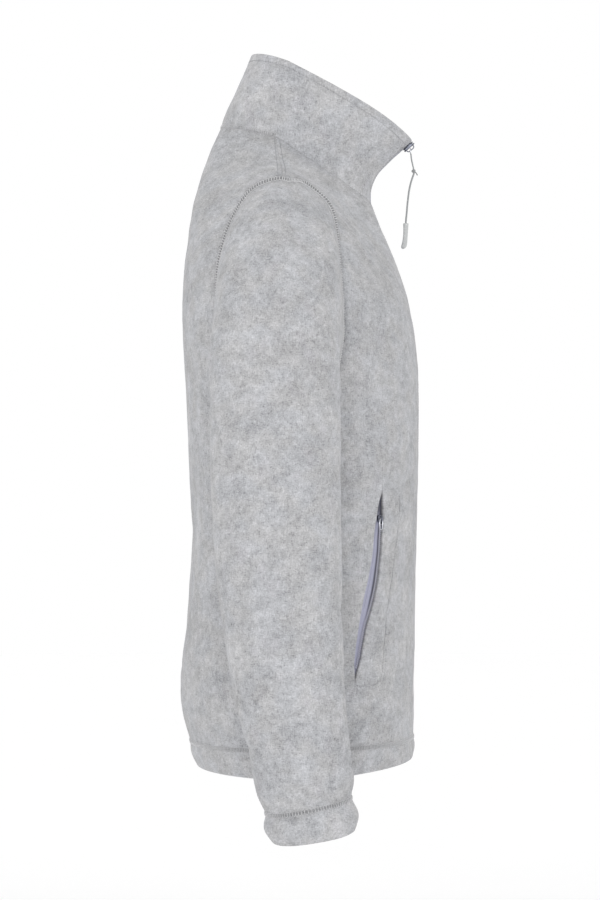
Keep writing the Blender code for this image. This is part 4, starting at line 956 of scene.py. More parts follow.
def cuff(side, look):
    name = side_name("cuff", side)
    end = CUFF_END - np.array([0.0022, 0.0014, 0.0008, 0.0003, 0.0])
    middle = np.linspace(CUFF_SEAM + 0.0045, CUFF_END - 0.0042, 12)
    places = np.concatenate([CUFF_SEAM + EDGE_STEPS, middle, end])
    rolls = {0: SEAM_ROLL, -1: CUFF_CLOTH / 2}
    return tube(f"{name}_band", side, places, rolls, CUFF_CLOTH, 16 + side, look, CUFF_CELL, (name,))


# How things look.


class Value:
    """One output in a material, which takes part in sums as a number does."""

    def __init__(self, look, socket):
        self.look, self.socket = look, socket

    def sum_of(self, operation, *others):
        node = self.look.tree.nodes.new("ShaderNodeMath")
        node.operation = operation
        for socket, value in zip(node.inputs, others):
            self.look.put(socket, value)
        return Value(self.look, node.outputs[0])

    def __add__(self, other):
        return self.sum_of("ADD", self, other)

    def __sub__(self, other):
        return self.sum_of("SUBTRACT", self, other)

    def __rsub__(self, other):
        return self.sum_of("SUBTRACT", other, self)

    def __mul__(self, other):
        return self.sum_of("MULTIPLY", self, other)

    __radd__ = __add__

    def sine(self):
        return self.sum_of("SINE", self)

    def ramp(self, start, end):
        """0 at the start, 1 at the end, smooth between them."""
        made = self.look.node("ShaderNodeMapRange", {"interpolation_type": "SMOOTHSTEP"}, Value=self,
                              From_Min=start, From_Max=end)
        return Value(self.look, made.outputs["Result"])


class Look:
    """A material made of nodes, with its Principled shader."""

    def __init__(self, name, roughness, metallic=0.0, **constants):
        self.material = bpy.data.materials.new(name)
        self.material.use_nodes = True
        self.tree = self.material.node_tree
        self.shader = self.tree.nodes["Principled BSDF"]
        self.set(Roughness=roughness, Metallic=metallic, **constants)

    def put(self, socket, value):
        if isinstance(value, Value):
            self.tree.links.new(value.socket, socket)
        else:
            socket.default_value = value

    def set(self, **values):
        for name, value in values.items():
            self.put(self.shader.inputs[name.replace("_", " ")], value)

    def node(self, kind, settings=None, **inputs):
        made = self.tree.nodes.new(kind)
        for name, value in (settings or {}).items():
            setattr(made, name, value)
        for name, value in inputs.items():
            self.put(made.inputs[name.replace("_", " ")], value)
        return made

    def output(self, name, kind, settings=None, **inputs):
        return Value(self, self.node(kind, settings, **inputs).outputs[name])

    def place(self, attribute=None, stretch=(1.0, 1.0, 1.0)):
        """Where a point lies: in its cloth, or in its object."""
        if attribute:
            where = self.output("Vector", "ShaderNodeAttribute", {"attribute_name": attribute})
        else:
            where = self.output("Object", "ShaderNodeTexCoord")
        return self.output("Vector", "ShaderNodeMapping", Vector=where, Scale=stretch)

    def noise(self, place, size, detail=2.0, roughness=0.5):
        """Cloudy noise of about 0.5, whose clouds are this many metres across."""
        return self.output("Fac", "ShaderNodeTexNoise", Vector=place, Scale=1.0 / size, Detail=detail,
                           Roughness=roughness)

    def mix(self, share, first, second):
        """A colour between two."""
        made = self.node("ShaderNodeMix", {"data_type": "RGBA"})
        for index, value in ((0, share), (6, first), (7, second)):
            self.put(made.inputs[index], value)
        return Value(self, made.outputs[2])

    def toned(self, colour, tone):
        """Colours the surface, lighter or darker by this factor."""
        if not isinstance(colour, Value):
            colour = self.mix(0.0, colour, colour)
        scale = {"operation": "SCALE"}
        self.set(Base_Color=self.output("Vector", "ShaderNodeVectorMath", scale, Vector=colour, Scale=tone))

    def painted_shade(self):
        """How much painted shade the surface has there."""
        return self.output("Fac", "ShaderNodeAttribute", {"attribute_name": "painted_shade"})

    def bump(self, height, depth, strength=1.0):
        """Fine roughness of the surface, `depth` metres deep where the height changes by 1."""
        made = self.output("Normal", "ShaderNodeBump", Height=height, Distance=depth, Strength=strength)
        self.set(Normal=made)


def heather_fleece(name, shade=1.0):
    """Brushed fleece of mixed pale fibres: clouds, mottles, short dark and light fibres, and a soft nap."""
    look = Look(name, 0.96, Sheen_Weight=0.12, Sheen_Roughness=0.6)
    across = look.place("grain", (0.92, 0.92, 1.12))
    upward = look.place("grain", (1.35, 1.35, 0.62))
    clouds = look.noise(across, 0.036, 2.0)
    mottle = look.noise(across, 0.0085, 3.0, 0.62)
    speckle = look.noise(upward, 0.0028, 2.0, 0.7)
    fibres_across = look.noise(look.place("grain", (0.55, 0.55, 2.10)), 0.0021, 1.0)
    fibres_upward = look.noise(look.place("grain", (1.9, 1.9, 0.50)), 0.0021, 1.0)
    grit = look.noise(look.place("grain"), 0.0013, 1.0)
    tint = look.noise(across, 0.026, 1.0)
    dark = fibres_across.ramp(0.58, 0.70) * 0.20 + fibres_upward.ramp(0.59, 0.71) * 0.18
    light = fibres_across.ramp(0.42, 0.30) * 0.15 + fibres_upward.ramp(0.41, 0.29) * 0.13
    tone = 1.0 + (clouds - 0.5) * 0.56 + (mottle - 0.5) * 0.82 + (speckle - 0.5) * 0.44 + (grit - 0.5) * 0.62
    # Painted shade: darker beside the rows of stitches and along the welt's outline.
    tone = (tone + light - dark) * (1.0 - look.painted_shade() * 0.56)
    cool = look.mix(tint.ramp(0.35, 0.65), (0.402, 0.407, 0.425, 1.0), (0.408, 0.407, 0.415, 1.0))
    violet = look.noise(upward, 0.019, 1.0).ramp(0.55, 0.75)
    colour = look.mix(violet * 0.5, cool, (0.408, 0.403, 0.425, 1.0))
    # `shade` makes the whole cloth lighter: painted light, for the collar and the bands.
    look.toned(colour, tone * shade)
    nap = look.noise(look.place("grain"), 0.0016, 3.0, 0.7) + look.noise(across, 0.0060, 2.0) * 0.8
    look.bump(nap, 0.0009, 0.55)
    return look.material


def woven_tape(name, colour):
    """Close twill tape."""
    look = Look(name, 0.82)
    weave = look.noise(look.place(stretch=(1.0, 1.0, 0.35)), 0.0006, 1.0)
    wear = look.noise(look.place(), 0.006, 2.0)
    # Darker where the tape has painted shade: under the pocket's coil and at the slit's head.
    look.toned(colour, (1.0 + (weave - 0.5) * 0.45 + (wear - 0.5) * 0.12) * (1.0 - look.painted_shade() * 0.72))
    look.bump(weave, 0.0002, 0.5)
    return look.material


def spun_thread(name, colour):
    """Sewing thread, slightly twisted and glossy."""
    look = Look(name, 0.62)
    twist = look.noise(look.place(), 0.0004, 1.0)
    shade = look.noise(look.place(), 0.009, 1.0)
    look.toned(colour, 1.0 + (twist - 0.5) * 0.35 + (shade - 0.5) * 0.25)
    look.bump(twist, 0.0001, 0.4)
    return look.material


def moulded(name, colour, roughness, grain=0.10, metallic=0.0):
    """Moulded rubber or nylon, or plated metal: an even colour with faint wear."""
    look = Look(name, roughness, metallic)
    fine = look.noise(look.place(), 0.0009, 3.0)
    broad = look.noise(look.place(), 0.0060, 1.0)
    look.toned(colour, 1.0 + (fine - 0.5) * grain + (broad - 0.5) * grain)
    look.set(Roughness=(fine - 0.5) * 0.25 + roughness)
    look.bump(fine, 0.00006, 0.35)
    return look.material


def braided_cord(name, colour):
    """A fine round braid."""
    look = Look(name, 0.78)
    parts = look.node("ShaderNodeSeparateXYZ", None, Vector=look.output("Object", "ShaderNodeTexCoord"))
    x, y, z = (Value(look, parts.outputs[i]) for i in range(3))
    weave = ((z * 2600 + x * 3400).sine() * (z * 2600 - y * 3400).sine()) * 0.5 + 0.5
    look.toned(colour, weave * 0.34 + 0.82)
    look.bump(weave, 0.00016, 0.6)
    return look.material


def plain_stage(name, colour):
    look = Look(name, 0.9)
    soft = look.noise(look.place(), 0.30, 2.0)
    look.toned(colour, 1.0 + (soft - 0.5) * 0.01)
    return look.material


# The stage, the light and the camera.

CAMERA_AT = (-4.50, -0.0180, -0.3180)
LONG_SIDE = 0.9540  # how much of the object's plane the picture's long side takes in
SENSOR = 36.0
FLOOR_DROP, FLOOR_RADIUS, FLOOR_SIDES = 0.16, 7, 64  # the floor lies this far below the cuffs
LIGHT_AT, LIGHT_AIM, LIGHT_SIZE, LIGHT_POWER = (-5.6, 0.3, -0.5), (0, 0, -0.2), 1.6, 78.0
WHITE = (1.0, 1.0, 1.0, 1.0)
AIM = Vector((0.0, CAMERA_AT[1], CAMERA_AT[2]))


def stood(name, data, place=(0, 0, 0), aim=None):
    """An object in the scene, turned toward the point that it is aimed at."""
    made = bpy.data.objects.new(name, data)
    made.location = place
    if aim is not None:
        made.rotation_euler = (Vector(aim) - Vector(place)).to_track_quat("-Z", "Y").to_euler()
    bpy.context.scene.collection.objects.link(made)
    return made


def make_camera():
    data = bpy.data.cameras.new("side_camera")
    data.sensor_width = SENSOR
    data.lens = SENSOR * -CAMERA_AT[0] / LONG_SIDE
    camera = stood("side_camera", data, CAMERA_AT, AIM)
    bpy.context.scene.camera = camera


def soft_light(name, place, size, power, aim):
    data = bpy.data.lights.new(name, "AREA")
    data.shape = "DISK"
    data.size, data.energy = size, power
    stood(name, data, place, aim)


def make_stage():
    """A pale floor under the jacket, and even light from all round with a soft light at its side."""
    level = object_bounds()[0].z - FLOOR_DROP
    turns = round_turns(FLOOR_SIDES)
    rim = np.column_stack([np.cos(turns) * FLOOR_RADIUS, np.sin(turns) * FLOOR_RADIUS, turns * 0 + level])
    mesh = bpy.data.meshes.new("floor")
    mesh.from_pydata(rim, [], [range(FLOOR_SIDES)])
    mesh.materials.append(plain_stage("pale_floor", WHITE))
    stood("floor", mesh)
    world = bpy.data.worlds.new("studio")
    world.use_nodes = True
    world.node_tree.nodes["Background"].inputs["Color"].default_value = WHITE
    world.node_tree.nodes["Background"].inputs["Strength"].default_value = 1.0
    bpy.context.scene.world = world
    soft_light("side_light", LIGHT_AT, LIGHT_SIZE, LIGHT_POWER, LIGHT_AIM)
    bpy.context.scene.view_settings.view_transform = "Standard"


# Sewing.

THREAD = 0.00042  # thickness of the sewing thread
RUNG = 0.0010  # thickness of the looped threads across a cover stitch
LADDER_PITCH, LADDER_WIDTH = 0.0027, 0.0050
TOPSTITCH = 0.0030
LIFT = 0.00012  # thread above the cloth
TUBE_SIDES = 6
OPEN_GAP, CLOSE_GAP = 0.34, 0.16  # the gaps between a row's stitches, as shares of their pitch


def tubes(starts, ends, ups, thickness, arch, sunk, share=0.24):
    """Short bent tubes, all alike: from each start to its end, arched toward `ups`, with their ends sunk."""
    starts, ends, ups = (np.asarray(v, float).reshape(-1, 3) for v in (starts, ends, ups))
    along = unit(ends - starts)
    across = unit(np.cross(along, ups))
    rise = unit(np.cross(across, along))
    turns = round_turns(TUBE_SIDES)[None, :, None]
    ring = np.cos(turns) * across[:, None, :] + np.sin(turns) * rise[:, None, :]
    rings = []
    for place, height, radius in ((0.0, -sunk, 0.55), (share, 0.75 * arch, 1.0), (0.5, arch, 1.0),
                                  (1 - share, 0.75 * arch, 1.0), (1.0, -sunk, 0.55)):
        centre = starts + (ends - starts) * place + rise * height
        rings.append(centre[:, None, :] + ring * thickness / 2 * radius)
    last = (len(rings) - 1) * TUBE_SIDES
    quads = walls(len(rings), TUBE_SIDES) + [(0, 3, 2, 1), (0, 5, 4, 3)]
    quads += [(last, last + 1, last + 2, last + 3), (last, last + 3, last + 4, last + 5)]
    each = (np.arange(len(starts)) * len(rings) * TUBE_SIDES)[:, None, None]
    return np.stack(rings, axis=1).reshape(-1, 3), (np.array(quads)[None] + each).reshape(-1, 4)


def joined(parts):
    """Several (points, quads) as one."""
    points, quads, count = [], [], 0
    for some_points, some_quads in parts:
        points.append(some_points)
        quads.append(some_quads + count)
        count += len(some_points)
    return np.concatenate(points), np.concatenate(quads)


def even_points(line, ups, pitch):
    """Points at an even pitch along a line, with the ways up from the cloth there."""
    run = run_of(line)
    at = np.linspace(0, run[-1], max(2, round(run[-1] / pitch)) + 1)
    return read_at(at, run, line), unit(read_at(at, run, ups))


def stitch_row(line, ups, pitch=TOPSTITCH, gap=OPEN_GAP):
    """A row of lock stitches along a line."""
    points, ways = even_points(line, ups, pitch)
    starts, ends = points[:-1], points[1:]
    short = (ends - starts) * gap / 2
    ups = unit(ways[:-1] + ways[1:])
    lift = ups * LIFT
    return tubes(starts + short + lift, ends - short + lift, ups, THREAD, THREAD * 0.35, THREAD)


def rung_count(first, second):
    """How many rungs a cover stitch has between these two rows."""
    return max(4, round(run_of((first + second) / 2)[-1] / LADDER_PITCH))


def ladder(first, first_ups, second, second_ups, rung=RUNG, chain=THREAD * 1.1):
    """A cover stitch over a seam: two rows of stitches with threads crossing between them like rungs.

    The second row's stitches are as thick as `chain`.
    """
    order = np.arange(len(first))
    at = np.linspace(0, len(first) - 1, rung_count(first, second) + 1)
    a, b = read_at(at, order, first), read_at(at, order, second)
    a_up, b_up = unit(read_at(at, order, first_ups)), unit(read_at(at, order, second_ups))
    up = unit(a_up + b_up)
    lift = LIFT + rung * 0.2
    starts, ends = a[:-1] + a_up[:-1] * lift, b[:-1] + b_up[:-1] * lift
    parts = [tubes(starts, ends, up[:-1], rung, 0.00042, 0.0003, share=0.16)]
    for rail, ways, thick, gap in ((a, a_up, THREAD * 1.1, 0.06), (b, b_up, chain, 0.14)):
        step = rail[1:] - rail[:-1]
        parts.append(tubes(rail[:-1] + step * gap + ways[:-1] * LIFT, rail[1:] - step * gap + ways[1:] * LIFT,
                           unit(ways[1:] + ways[:-1]), thick, thick * 0.5, thick * 0.7))
    return joined(parts)


def sewn(name, parts, look, side=1, replaces=()):
    points, quads = joined(parts)
    quads = quads if side > 0 else quads[:, ::-1]
    return add_piece(name, to_side(points, side), quads, look, replaces=replaces)


def ticks(first, first_ups, second, second_ups, share=0.62, thickness=0.0009):
    """Painted shade between a cover stitch's rungs, made as short dark threads from its first row part of the
    way.
    """
    order, count = np.arange(len(first)), rung_count(first, second)
    at = (np.arange(count) + 0.5) * (len(first) - 1) / count
    a, b = read_at(at, order, first), read_at(at, order, second)
    up = unit(read_at(at, order, first_ups) + read_at(at, order, second_ups))
    lift = up * LIFT
    return tubes(a + lift, a + (b - a) * share + lift, up, thickness, 0.00045, 0.0002, share=0.2)


SLEEVE_REACH, BODY_REACH = (0.0020, 0.0040), (0.0030, 0.0058)  # the armhole's cover stitch, least and most
FRONT_TUCK, BACK_TUCK, TUCK = -0.095, -0.150, 0.025  # the sleeve rolls over the stitch below these heights


def seen_reach(step, limits):
    """How far to go along the cloth for these steps to look as wide from the side as on upright cloth."""
    upright = np.linalg.norm(step[:, 1:], axis=1) / np.linalg.norm(step, axis=1)
    return np.clip(limits[0] / upright, *limits)


def armhole_ladder(side, look, shade_look):
    """The cover stitch round the armhole, one row on the body and one on the sleeve."""
    turns = even_turns(1401)
    around, up = armhole_place(turns)
    point, normal, turn, rise = body_frame(around, up)
    away = unit(np.cross(normal, unit(np.gradient(point, axis=0))))
    tuck = np.where(around < math.pi / 2, FRONT_TUCK, BACK_TUCK)
    reach = seen_reach(away, BODY_REACH) * (0.4 + 0.6 * fade(point[:, 2], tuck - TUCK, tuck + TUCK))
    sideways, upward = (away * turn).sum(axis=1) * reach, (away * rise).sum(axis=1) * reach
    on_body = body_cloth(moved_in(around, up, sideways), up + upward, side=side)
    near, far = (sleeve_frame(turns, along)[0] for along in (0.001, 0.005))
    on_sleeve = sleeve_cloth(turns, seen_reach(far - near, SLEEVE_REACH), side)
    crossing = ladder(*on_body, *on_sleeve, rung=RUNG * 0.8, chain=RUNG * 0.85)
    return [sewn(side_name("armhole_stitch", side), [crossing], look, side),
            sewn(side_name("armhole_shade_stitch", side), [ticks(*on_body, *on_sleeve)], shade_look, side)]


def cuff_ladder(side, look, shade_look):
    turns = np.linspace(0, 2 * math.pi, 801)
    above = sleeve_cloth(turns, CUFF_SEAM - LADDER_WIDTH / 2, side)
    below = sleeve_cloth(turns, CUFF_SEAM + LADDER_WIDTH / 2, side)
    crossing, short = ladder(*above, *below, rung=RUNG * 0.7), ticks(*above, *below, 0.7, 0.0007)
    return [sewn(side_name("cuff_stitch", side), [crossing], look, side),
            sewn(side_name("cuff_shade_stitch", side), [short], shade_look, side)]


def hem_ladder(look, shade_look):
    start = zip_edge(HEM_SEAM, FRONT_EDGE + 0.004)
    around = np.linspace(start, 2 * math.pi - start, 2401)
    below = body_cloth(around, HEM_SEAM - LADDER_WIDTH / 2)
    above = body_cloth(around, HEM_SEAM + LADDER_WIDTH / 2)
    return [sewn("hem_stitch", [ladder(*above, *below, rung=RUNG * 0.7)], look),
            sewn("hem_shade_stitch", [ticks(*above, *below, 0.6, 0.0008)], shade_look)]


def shoulder_rows(side, look):
    """Two rows of topstitching, one each side of the shoulder seam, closer together toward the neck."""
    up = np.linspace(SHOULDER_POINT + 0.004, NECK_SEAM - 0.003, 90)
    spread = 0.0030 * (1 + 0.45 * (NECK_SEAM - up) / (NECK_SEAM - SHOULDER_POINT))
    rows = []
    for away in (-spread, spread):
        line, ups = body_cloth(moved_in(np.full_like(up, math.pi / 2), up, away), up, side=side)
        rows.append(stitch_row(line, ups, 0.0026, CLOSE_GAP))
    return sewn(side_name("shoulder_stitch", side), rows, look, side)


def collar_rows(look):
    """The row along the collar's edge, which turns down beside the zip and ends at the neck seam."""
    top = COLLAR_EDGE - COLLAR_STITCH
    start = zip_edge(top, FRONT_EDGE + FRONT_STITCH, COLLAR)
    around = start + (2 * math.pi - 2 * start) * np.linspace(0, 1, 500)
    rows = [stitch_row(*body_cloth(around, top, COLLAR))]
    up = np.linspace(NECK_SEAM + 0.004, top, 60)
    for side in (1, -1):
        beside = zip_edge(up, FRONT_EDGE + FRONT_STITCH, COLLAR)
        rows.append(stitch_row(*body_cloth(side * beside, up, COLLAR)))
    return sewn("collar_stitch", rows, look)


def neck_ladder(look):
    """The cover stitch on the collar's seam, from shoulder to shoulder across the back of the neck."""
    around = np.linspace(math.pi / 2, 3 * math.pi / 2, 1201)
    below = body_cloth(around, NECK_SEAM - 0.0012)
    above = body_cloth(around, NECK_SEAM + 0.0040, COLLAR)
    return sewn("neck_stitch", [ladder(*below, *above, rung=RUNG * 0.45)], look)


def front_row(side, look):
    """Topstitching down the front beside the zip."""
    up = np.linspace(0.003, NECK_SEAM - 0.004, 260)
    line, ups = body_cloth(zip_edge(up, FRONT_EDGE + FRONT_STITCH), up, side=side)
    return sewn(side_name("front_stitch", side), [stitch_row(line, ups, gap=CLOSE_GAP)], look, side)


# The pocket.

POCKET_OUTLINE = {  # degrees round, and metres up the side seam
    "head": (37.0, 0.2875),
    "below the head": (37.6, 0.2670),
    "high": (38.7, 0.2506),
    "upper middle": (40.7, 0.2312),
    "middle": (42.9, 0.2058),
    "lower middle": (44.6, 0.1803),
    "low": (46.0, 0.1640),
    "lower": (47.3, 0.1394),
    "near the foot": (48.6, 0.1168),
    "corner's start": (49.7, 0.1034),
    "corner": (52.4, 0.0954),
    "corner's end": (56.1, 0.0927),
    "along the foot": (61.0, 0.0925),
    "the slit's foot": (66.6, 0.0937),
}
FOOT_OUTLINE = {
    "start": (45.9, 0.1340),
    "near the foot": (46.7, 0.1186),
    "corner's start": (47.7, 0.1032),
    "corner": (50.7, 0.0931),
    "corner's end": (55.4, 0.0897),
    "end": (59.8, 0.0900),
}
DEGREE = 0.0028  # how far a degree goes round the cloth here, in metres
WELT_LOW, WELT_RISE, WELT_SLOPE = 0.00022, 0.0014, 0.0110  # its face where it is sewn, inside, and how soon
WELT_WAVE, WELT_WAVE_PITCH = 0.0002, 0.019  # the puckers along its sewn edges
WELT_FOLD = 0.0016  # how round its folded edge is
WELT_SHADE, WELT_SHADE_REACH = 0.50, 0.0010  # how dark the painted shade along the outline is, and how far it reaches
HEAD_ROWS, ROW_STEP = 17, 0.0006  # its rows next to its slanted head, and how close they may lie
ON_WELT, OFF_EDGE = 0.0012, 0.0002  # a stitch this near its points, and this far from its edges, lies on it
WELT_LAP = 0.0004  # how far the welt laps over the slit's front edge
OUTLINE_DIP, OUTLINE_REACH = 0.00080, 0.0015


def smooth_line(rows, count):
    """Close angles and heights along a smooth curve through a table's rows."""
    around, up = smooth_route(list(rows.values()), count, (DEGREE, 1.0)).T
    return np.radians(around), up


class Welt:
    """The strip of fleece along the slit's front edge: folded at the slit, and sewn flat round the rest."""

    def __init__(self, side):
        self.side = side
        up = np.linspace(SLIT_FOOT - WELT_FOOT, SLIT_HEAD + WELT_HEAD, 136)
        held = np.clip(up, SLIT_FOOT, SLIT_HEAD)
        welt, slit, _ = pocket_lines(up)
        slit = np.where(up == held, slit, pocket_lines(held)[1])
        lap = WELT_LAP * fade(np.minimum(up - up[0], up[-1] - up), 0.0, 0.02)
        slit_side = columns_at(moved_in(slit, up, lap), up, (-0.0024, -0.0015, -0.0008, -0.0003, 0.0))
        welt_side = columns_at(welt, up, (0.0, 0.0006, 0.0015, 0.0024))
        between_them = between(welt_side[:, -1], slit_side[:, 0], np.linspace(0, 1, 18)[1:-1])
        around = np.hstack([welt_side, between_them, slit_side])
        heights = np.broadcast_to(up[:, None], around.shape).copy()
        share = (around - around[:, :1]) / (around[:, -1:] - around[:, :1])
        heights[-1] += -WELT_HEAD_DROP * (1 - share[-1])
        for row in range(2, HEAD_ROWS + 1):
            heights[-row] = np.minimum(heights[-row], heights[1 - row] - ROW_STEP)
        self.point, self.normal = body_cloth(around, heights, side=side)
        self.edges = [Line(row) for row in (self.point[:, 0], self.point[0], self.point[-1])]
        self.slit = Line(self.point[:, -1])
        outlines = [smooth_line(rows, 260) for rows in (POCKET_OUTLINE, FOOT_OUTLINE)]
        self.rows = [Line(body_cloth(*outline, side=side)[0]) for outline in outlines]

    def from_edges(self, places):
        """How far places are from its sewn edges."""
        return np.min([line.near(places)[0] for line in self.edges], axis=0)

    def rise(self, places):
        """How far its face stands above the front's, at places on the front."""
        inward = self.from_edges(places)
        rise = WELT_LOW + (WELT_RISE - WELT_LOW) * fade(inward, 0.0, WELT_SLOPE)
        rise += WELT_WAVE * np.sin(places[..., 2] * 2 * math.pi / WELT_WAVE_PITCH) * fade(inward, 0.0, 0.006)
        rise = rise - np.minimum(OUTLINE_DIP, 0.75 * rise) * bell(self.rows[0].near(places)[0], OUTLINE_REACH)
        return rise - rolled(self.slit.near(places)[0], WELT_FOLD)

    def strip(self, look):
        outer = self.point + self.normal * self.rise(self.point)[..., None]
        sunk = 0.0006 * fade(0.003 - self.slit.near(self.point)[0], 0.0, 0.003)
        inner = self.point + self.normal * (0.00010 - sunk)[..., None]
        # Painted shade along the outline's stitches.
        gap = np.min([line.near(self.point)[0] for line in self.rows], axis=0)
        name = side_name("pocket_welt", self.side)
        return shell(f"{name}_strip", outer, inner, grain_of(self.point, 1 + self.side), look, side=self.side,
                     replaces=(name,), painted_shade=WELT_SHADE * bell(gap, WELT_SHADE_REACH))

    def stitches(self, look):
        """The outline sewn through the welt and the front: beside the welt, and round and across its foot."""
        rows = []
        for outline in (POCKET_OUTLINE, FOOT_OUTLINE):
            point, normal = body_cloth(*smooth_line(outline, 400), side=self.side)
            apart = np.linalg.norm(point[:, None] - self.point.reshape(1, -1, 3), axis=-1).min(axis=1)
            lifted = (self.from_edges(point) > OFF_EDGE) & (apart < ON_WELT)
            lift = np.where(lifted, self.rise(point), 0.0)
            rows.append(stitch_row(point + normal * lift[:, None], normal))
        return sewn(side_name("pocket_stitch", self.side), rows, look, self.side)


def strip(name, point, normal, look, side, ridges, replaces, shaded=0.0):
    """A zip's tape along rows of points, under the fleece, with ridges of these heights on its face.

    `shaded` is how much painted shade the tape has at each point, from 0 to 1.
    """
    top = FLEECE + TAPE_GAP
    outer, inner = point - normal * (top - ridges)[..., None], point - normal * (top + TAPE_CLOTH)
    shaded = np.broadcast_to(shaded, point.shape[:-1])
    return shell(name, outer, inner, point, look, side=side, replaces=replaces, painted_shade=shaded)


# Raised lines along the tapes: where each lies across the tape, its reach and its height.
POCKET_TAPE_LINES = ((0.30, 0.035, 0.00022), (0.52, 0.03, 0.00018), (0.78, 0.03, 0.00018))
ZIP_TAPE_LINES = ((0.0036, 0.0004, 0.00020), (0.0044, 0.0003, 0.00012))


def raised(across, lines):
    """How high a tape's raised lines stand, at these places across it."""
    return sum(height * bell(across - at, reach) for at, reach, height in lines)


def pocket_tape(side, look):
    """The zip's tape behind the slit, with raised lines along it, a darker line, and painted shade beside its
    coil and at its head.
    """
    up = np.linspace(SLIT_FOOT - 0.004, SLIT_HEAD + 0.003, 110)
    _, front, behind = pocket_lines(np.clip(up, SLIT_FOOT + 0.008, SLIT_HEAD - 0.008))
    shares = np.linspace(-0.65, 1.35, 48)
    point, normal = body_cloth(between(front, behind, shares), up[:, None], side=side)
    # Painted shade under the coil, a darker line along the tape, and painted shade at the slit's head.
    under_coil = fade(-shares, -0.42, -0.24) + 0.35 * bell(shares - 0.66, 0.03)
    up = up[:, None]
    shaded = np.maximum(under_coil * fade(up, 0.150, 0.185), fade(up, 0.262, 0.274))
    name = side_name("pocket_tape", side)
    ridges = np.broadcast_to(raised(shares, POCKET_TAPE_LINES), point.shape[:-1])
    return strip(f"{name}_strip", point, normal, look, side, ridges, (name,), shaded)


POCKET_TOOTH, POCKET_TOOTH_PITCH, POCKET_TOOTH_SUNK = 0.00115, 0.00210, 0.0020


def pocket_teeth(side, look):
    """The small coil along the slit's front edge, one loop after another."""
    end = POCKET_SLIDER_AT - POCKET_SLIDER_LENGTH / 2 - SEAM_GAP
    up = np.linspace(SLIT_FOOT + 0.012, end, 400)
    _, front, _ = pocket_lines(up)
    rows = []
    for first, last, shift in ((0.0009, 0.0022, 0.0), (0.0026, 0.0036, 0.5)):
        lines = []
        for away in (first, last):
            line, ups = body_cloth(moved_in(front, up, away), up, side=side)
            lines.append(even_points(line - ups * POCKET_TOOTH_SUNK, ups, POCKET_TOOTH_PITCH))
        count = min(len(lines[0][0]), len(lines[1][0]))
        a, b = (line[:count - 1] + (line[1:count] - line[:count - 1]) * shift for line, _ in lines)
        rows.append(tubes(a, b, lines[1][1][:count - 1], POCKET_TOOTH, 0.00045, 0.0003, share=0.20))
    return sewn(side_name("pocket_teeth", side), rows, look, side,
                (side_name("pocket_coil", side),))


# The front zip.

NECK_TURN = 0.012  # the zip turns from the body to the collar this near the neck seam
ZIP_CELL = 0.0030
TOOTH, TOOTH_PITCH, TOOTH_REACH = 0.00095, 0.00175, 0.0024


def centre_line(stations, outs):
    """Points and ways at distances from the centre front, a row for each (table, height)."""
    outs = np.asarray(outs, float)
    points, normals = [], []
    for table, level in stations:
        angle = np.sign(outs) * zip_edge(level, np.abs(outs), table)
        point, normal, _, _ = body_frame(angle, level, table)
        share = np.clip(1 - abs(level - NECK_SEAM) / NECK_TURN, 0.0, 1.0)
        points.append(point)
        normals.append(unit(normal * (1 - share) + neck_mitre(angle) * share))
    return np.array(points), np.array(normals)


def zip_stations(first, last):
    """Heights up the zip, through the body and on into the collar."""
    low, high = round((NECK_SEAM - first) / ZIP_CELL), round((last - NECK_SEAM) / ZIP_CELL)
    stations = [(BODY, level) for level in np.linspace(first, NECK_SEAM, low)]
    return stations + [(COLLAR, level) for level in np.linspace(NECK_SEAM, last, high)[1:]]


def front_tapes(look):
    reach = np.linspace(0.0, 1.0, 22)
    points, normals = [], []
    for table, level in zip_stations(0.004, COLLAR_EDGE - 0.002):
        tucked = HEM_SEAM + 0.002 < level < NECK_SEAM - THROAT
        share = fade(min(level - HEM_SEAM, NECK_SEAM - level), 0.002, 0.012) if tucked else 0.0
        wide = FRONT_EDGE - SEAM_GAP + (TAPE_REACH - FRONT_EDGE) * share
        point, normal = centre_line([(table, level)], SEAM_GAP / 2 + (wide - SEAM_GAP / 2) * reach)
        points.append(point[0])
        normals.append(normal[0])
    points, normals = np.array(points), np.array(normals)
    ridges = raised(np.linalg.norm(points - points[:, :1], axis=-1), ZIP_TAPE_LINES)
    for side in (1, -1):
        name = side_name("zip_tape", side)
        made = strip(f"{name}_strip", points, normals, look, side, ridges, (name,))
        side_name("front", side) + "_panel"


def front_teeth(look):
    """The coil's loops, left and right by turns, closed from the foot up to the slider."""
    line, ways = centre_line(zip_stations(FOOT_TOP + 0.001, COLLAR_EDGE - 0.004), [0.0])
    sunk = ways[:, 0] * (COIL_SUNK + TOOTH * 0.55)
    points, ups = even_points(line[:, 0] - sunk, ways[:, 0], TOOTH_PITCH / 2)
    parts = []
    for start, across in ((0, np.array([1.0, 0.0, 0.0])), (1, np.array([-1.0, 0.0, 0.0]))):
        middle, up = points[start::2], ups[start::2]
        outer_end, inner_end = middle + across * TOOTH_REACH, middle - across * 0.0005
        parts.append(tubes(outer_end, inner_end, up, TOOTH, 0.0002, 0.0006, share=0.18))
        head, heel = outer_end + across * 0.0001 - up * 0.0001, outer_end - across * 0.0007 - up * 0.0014
        parts.append(tubes(head, heel, unit(across + up), TOOTH * 0.8, 0.0002, 0.0))
    return sewn("zip_teeth", parts, look, replaces=("zip_coil",))


# Metal parts.

SLIDER_WAIST = 0.30  # how much narrower a slider is at its tail, as a share


def moved(points, place):
    """Points put where a matrix says."""
    return np.array([place @ Vector(point) for point in points])


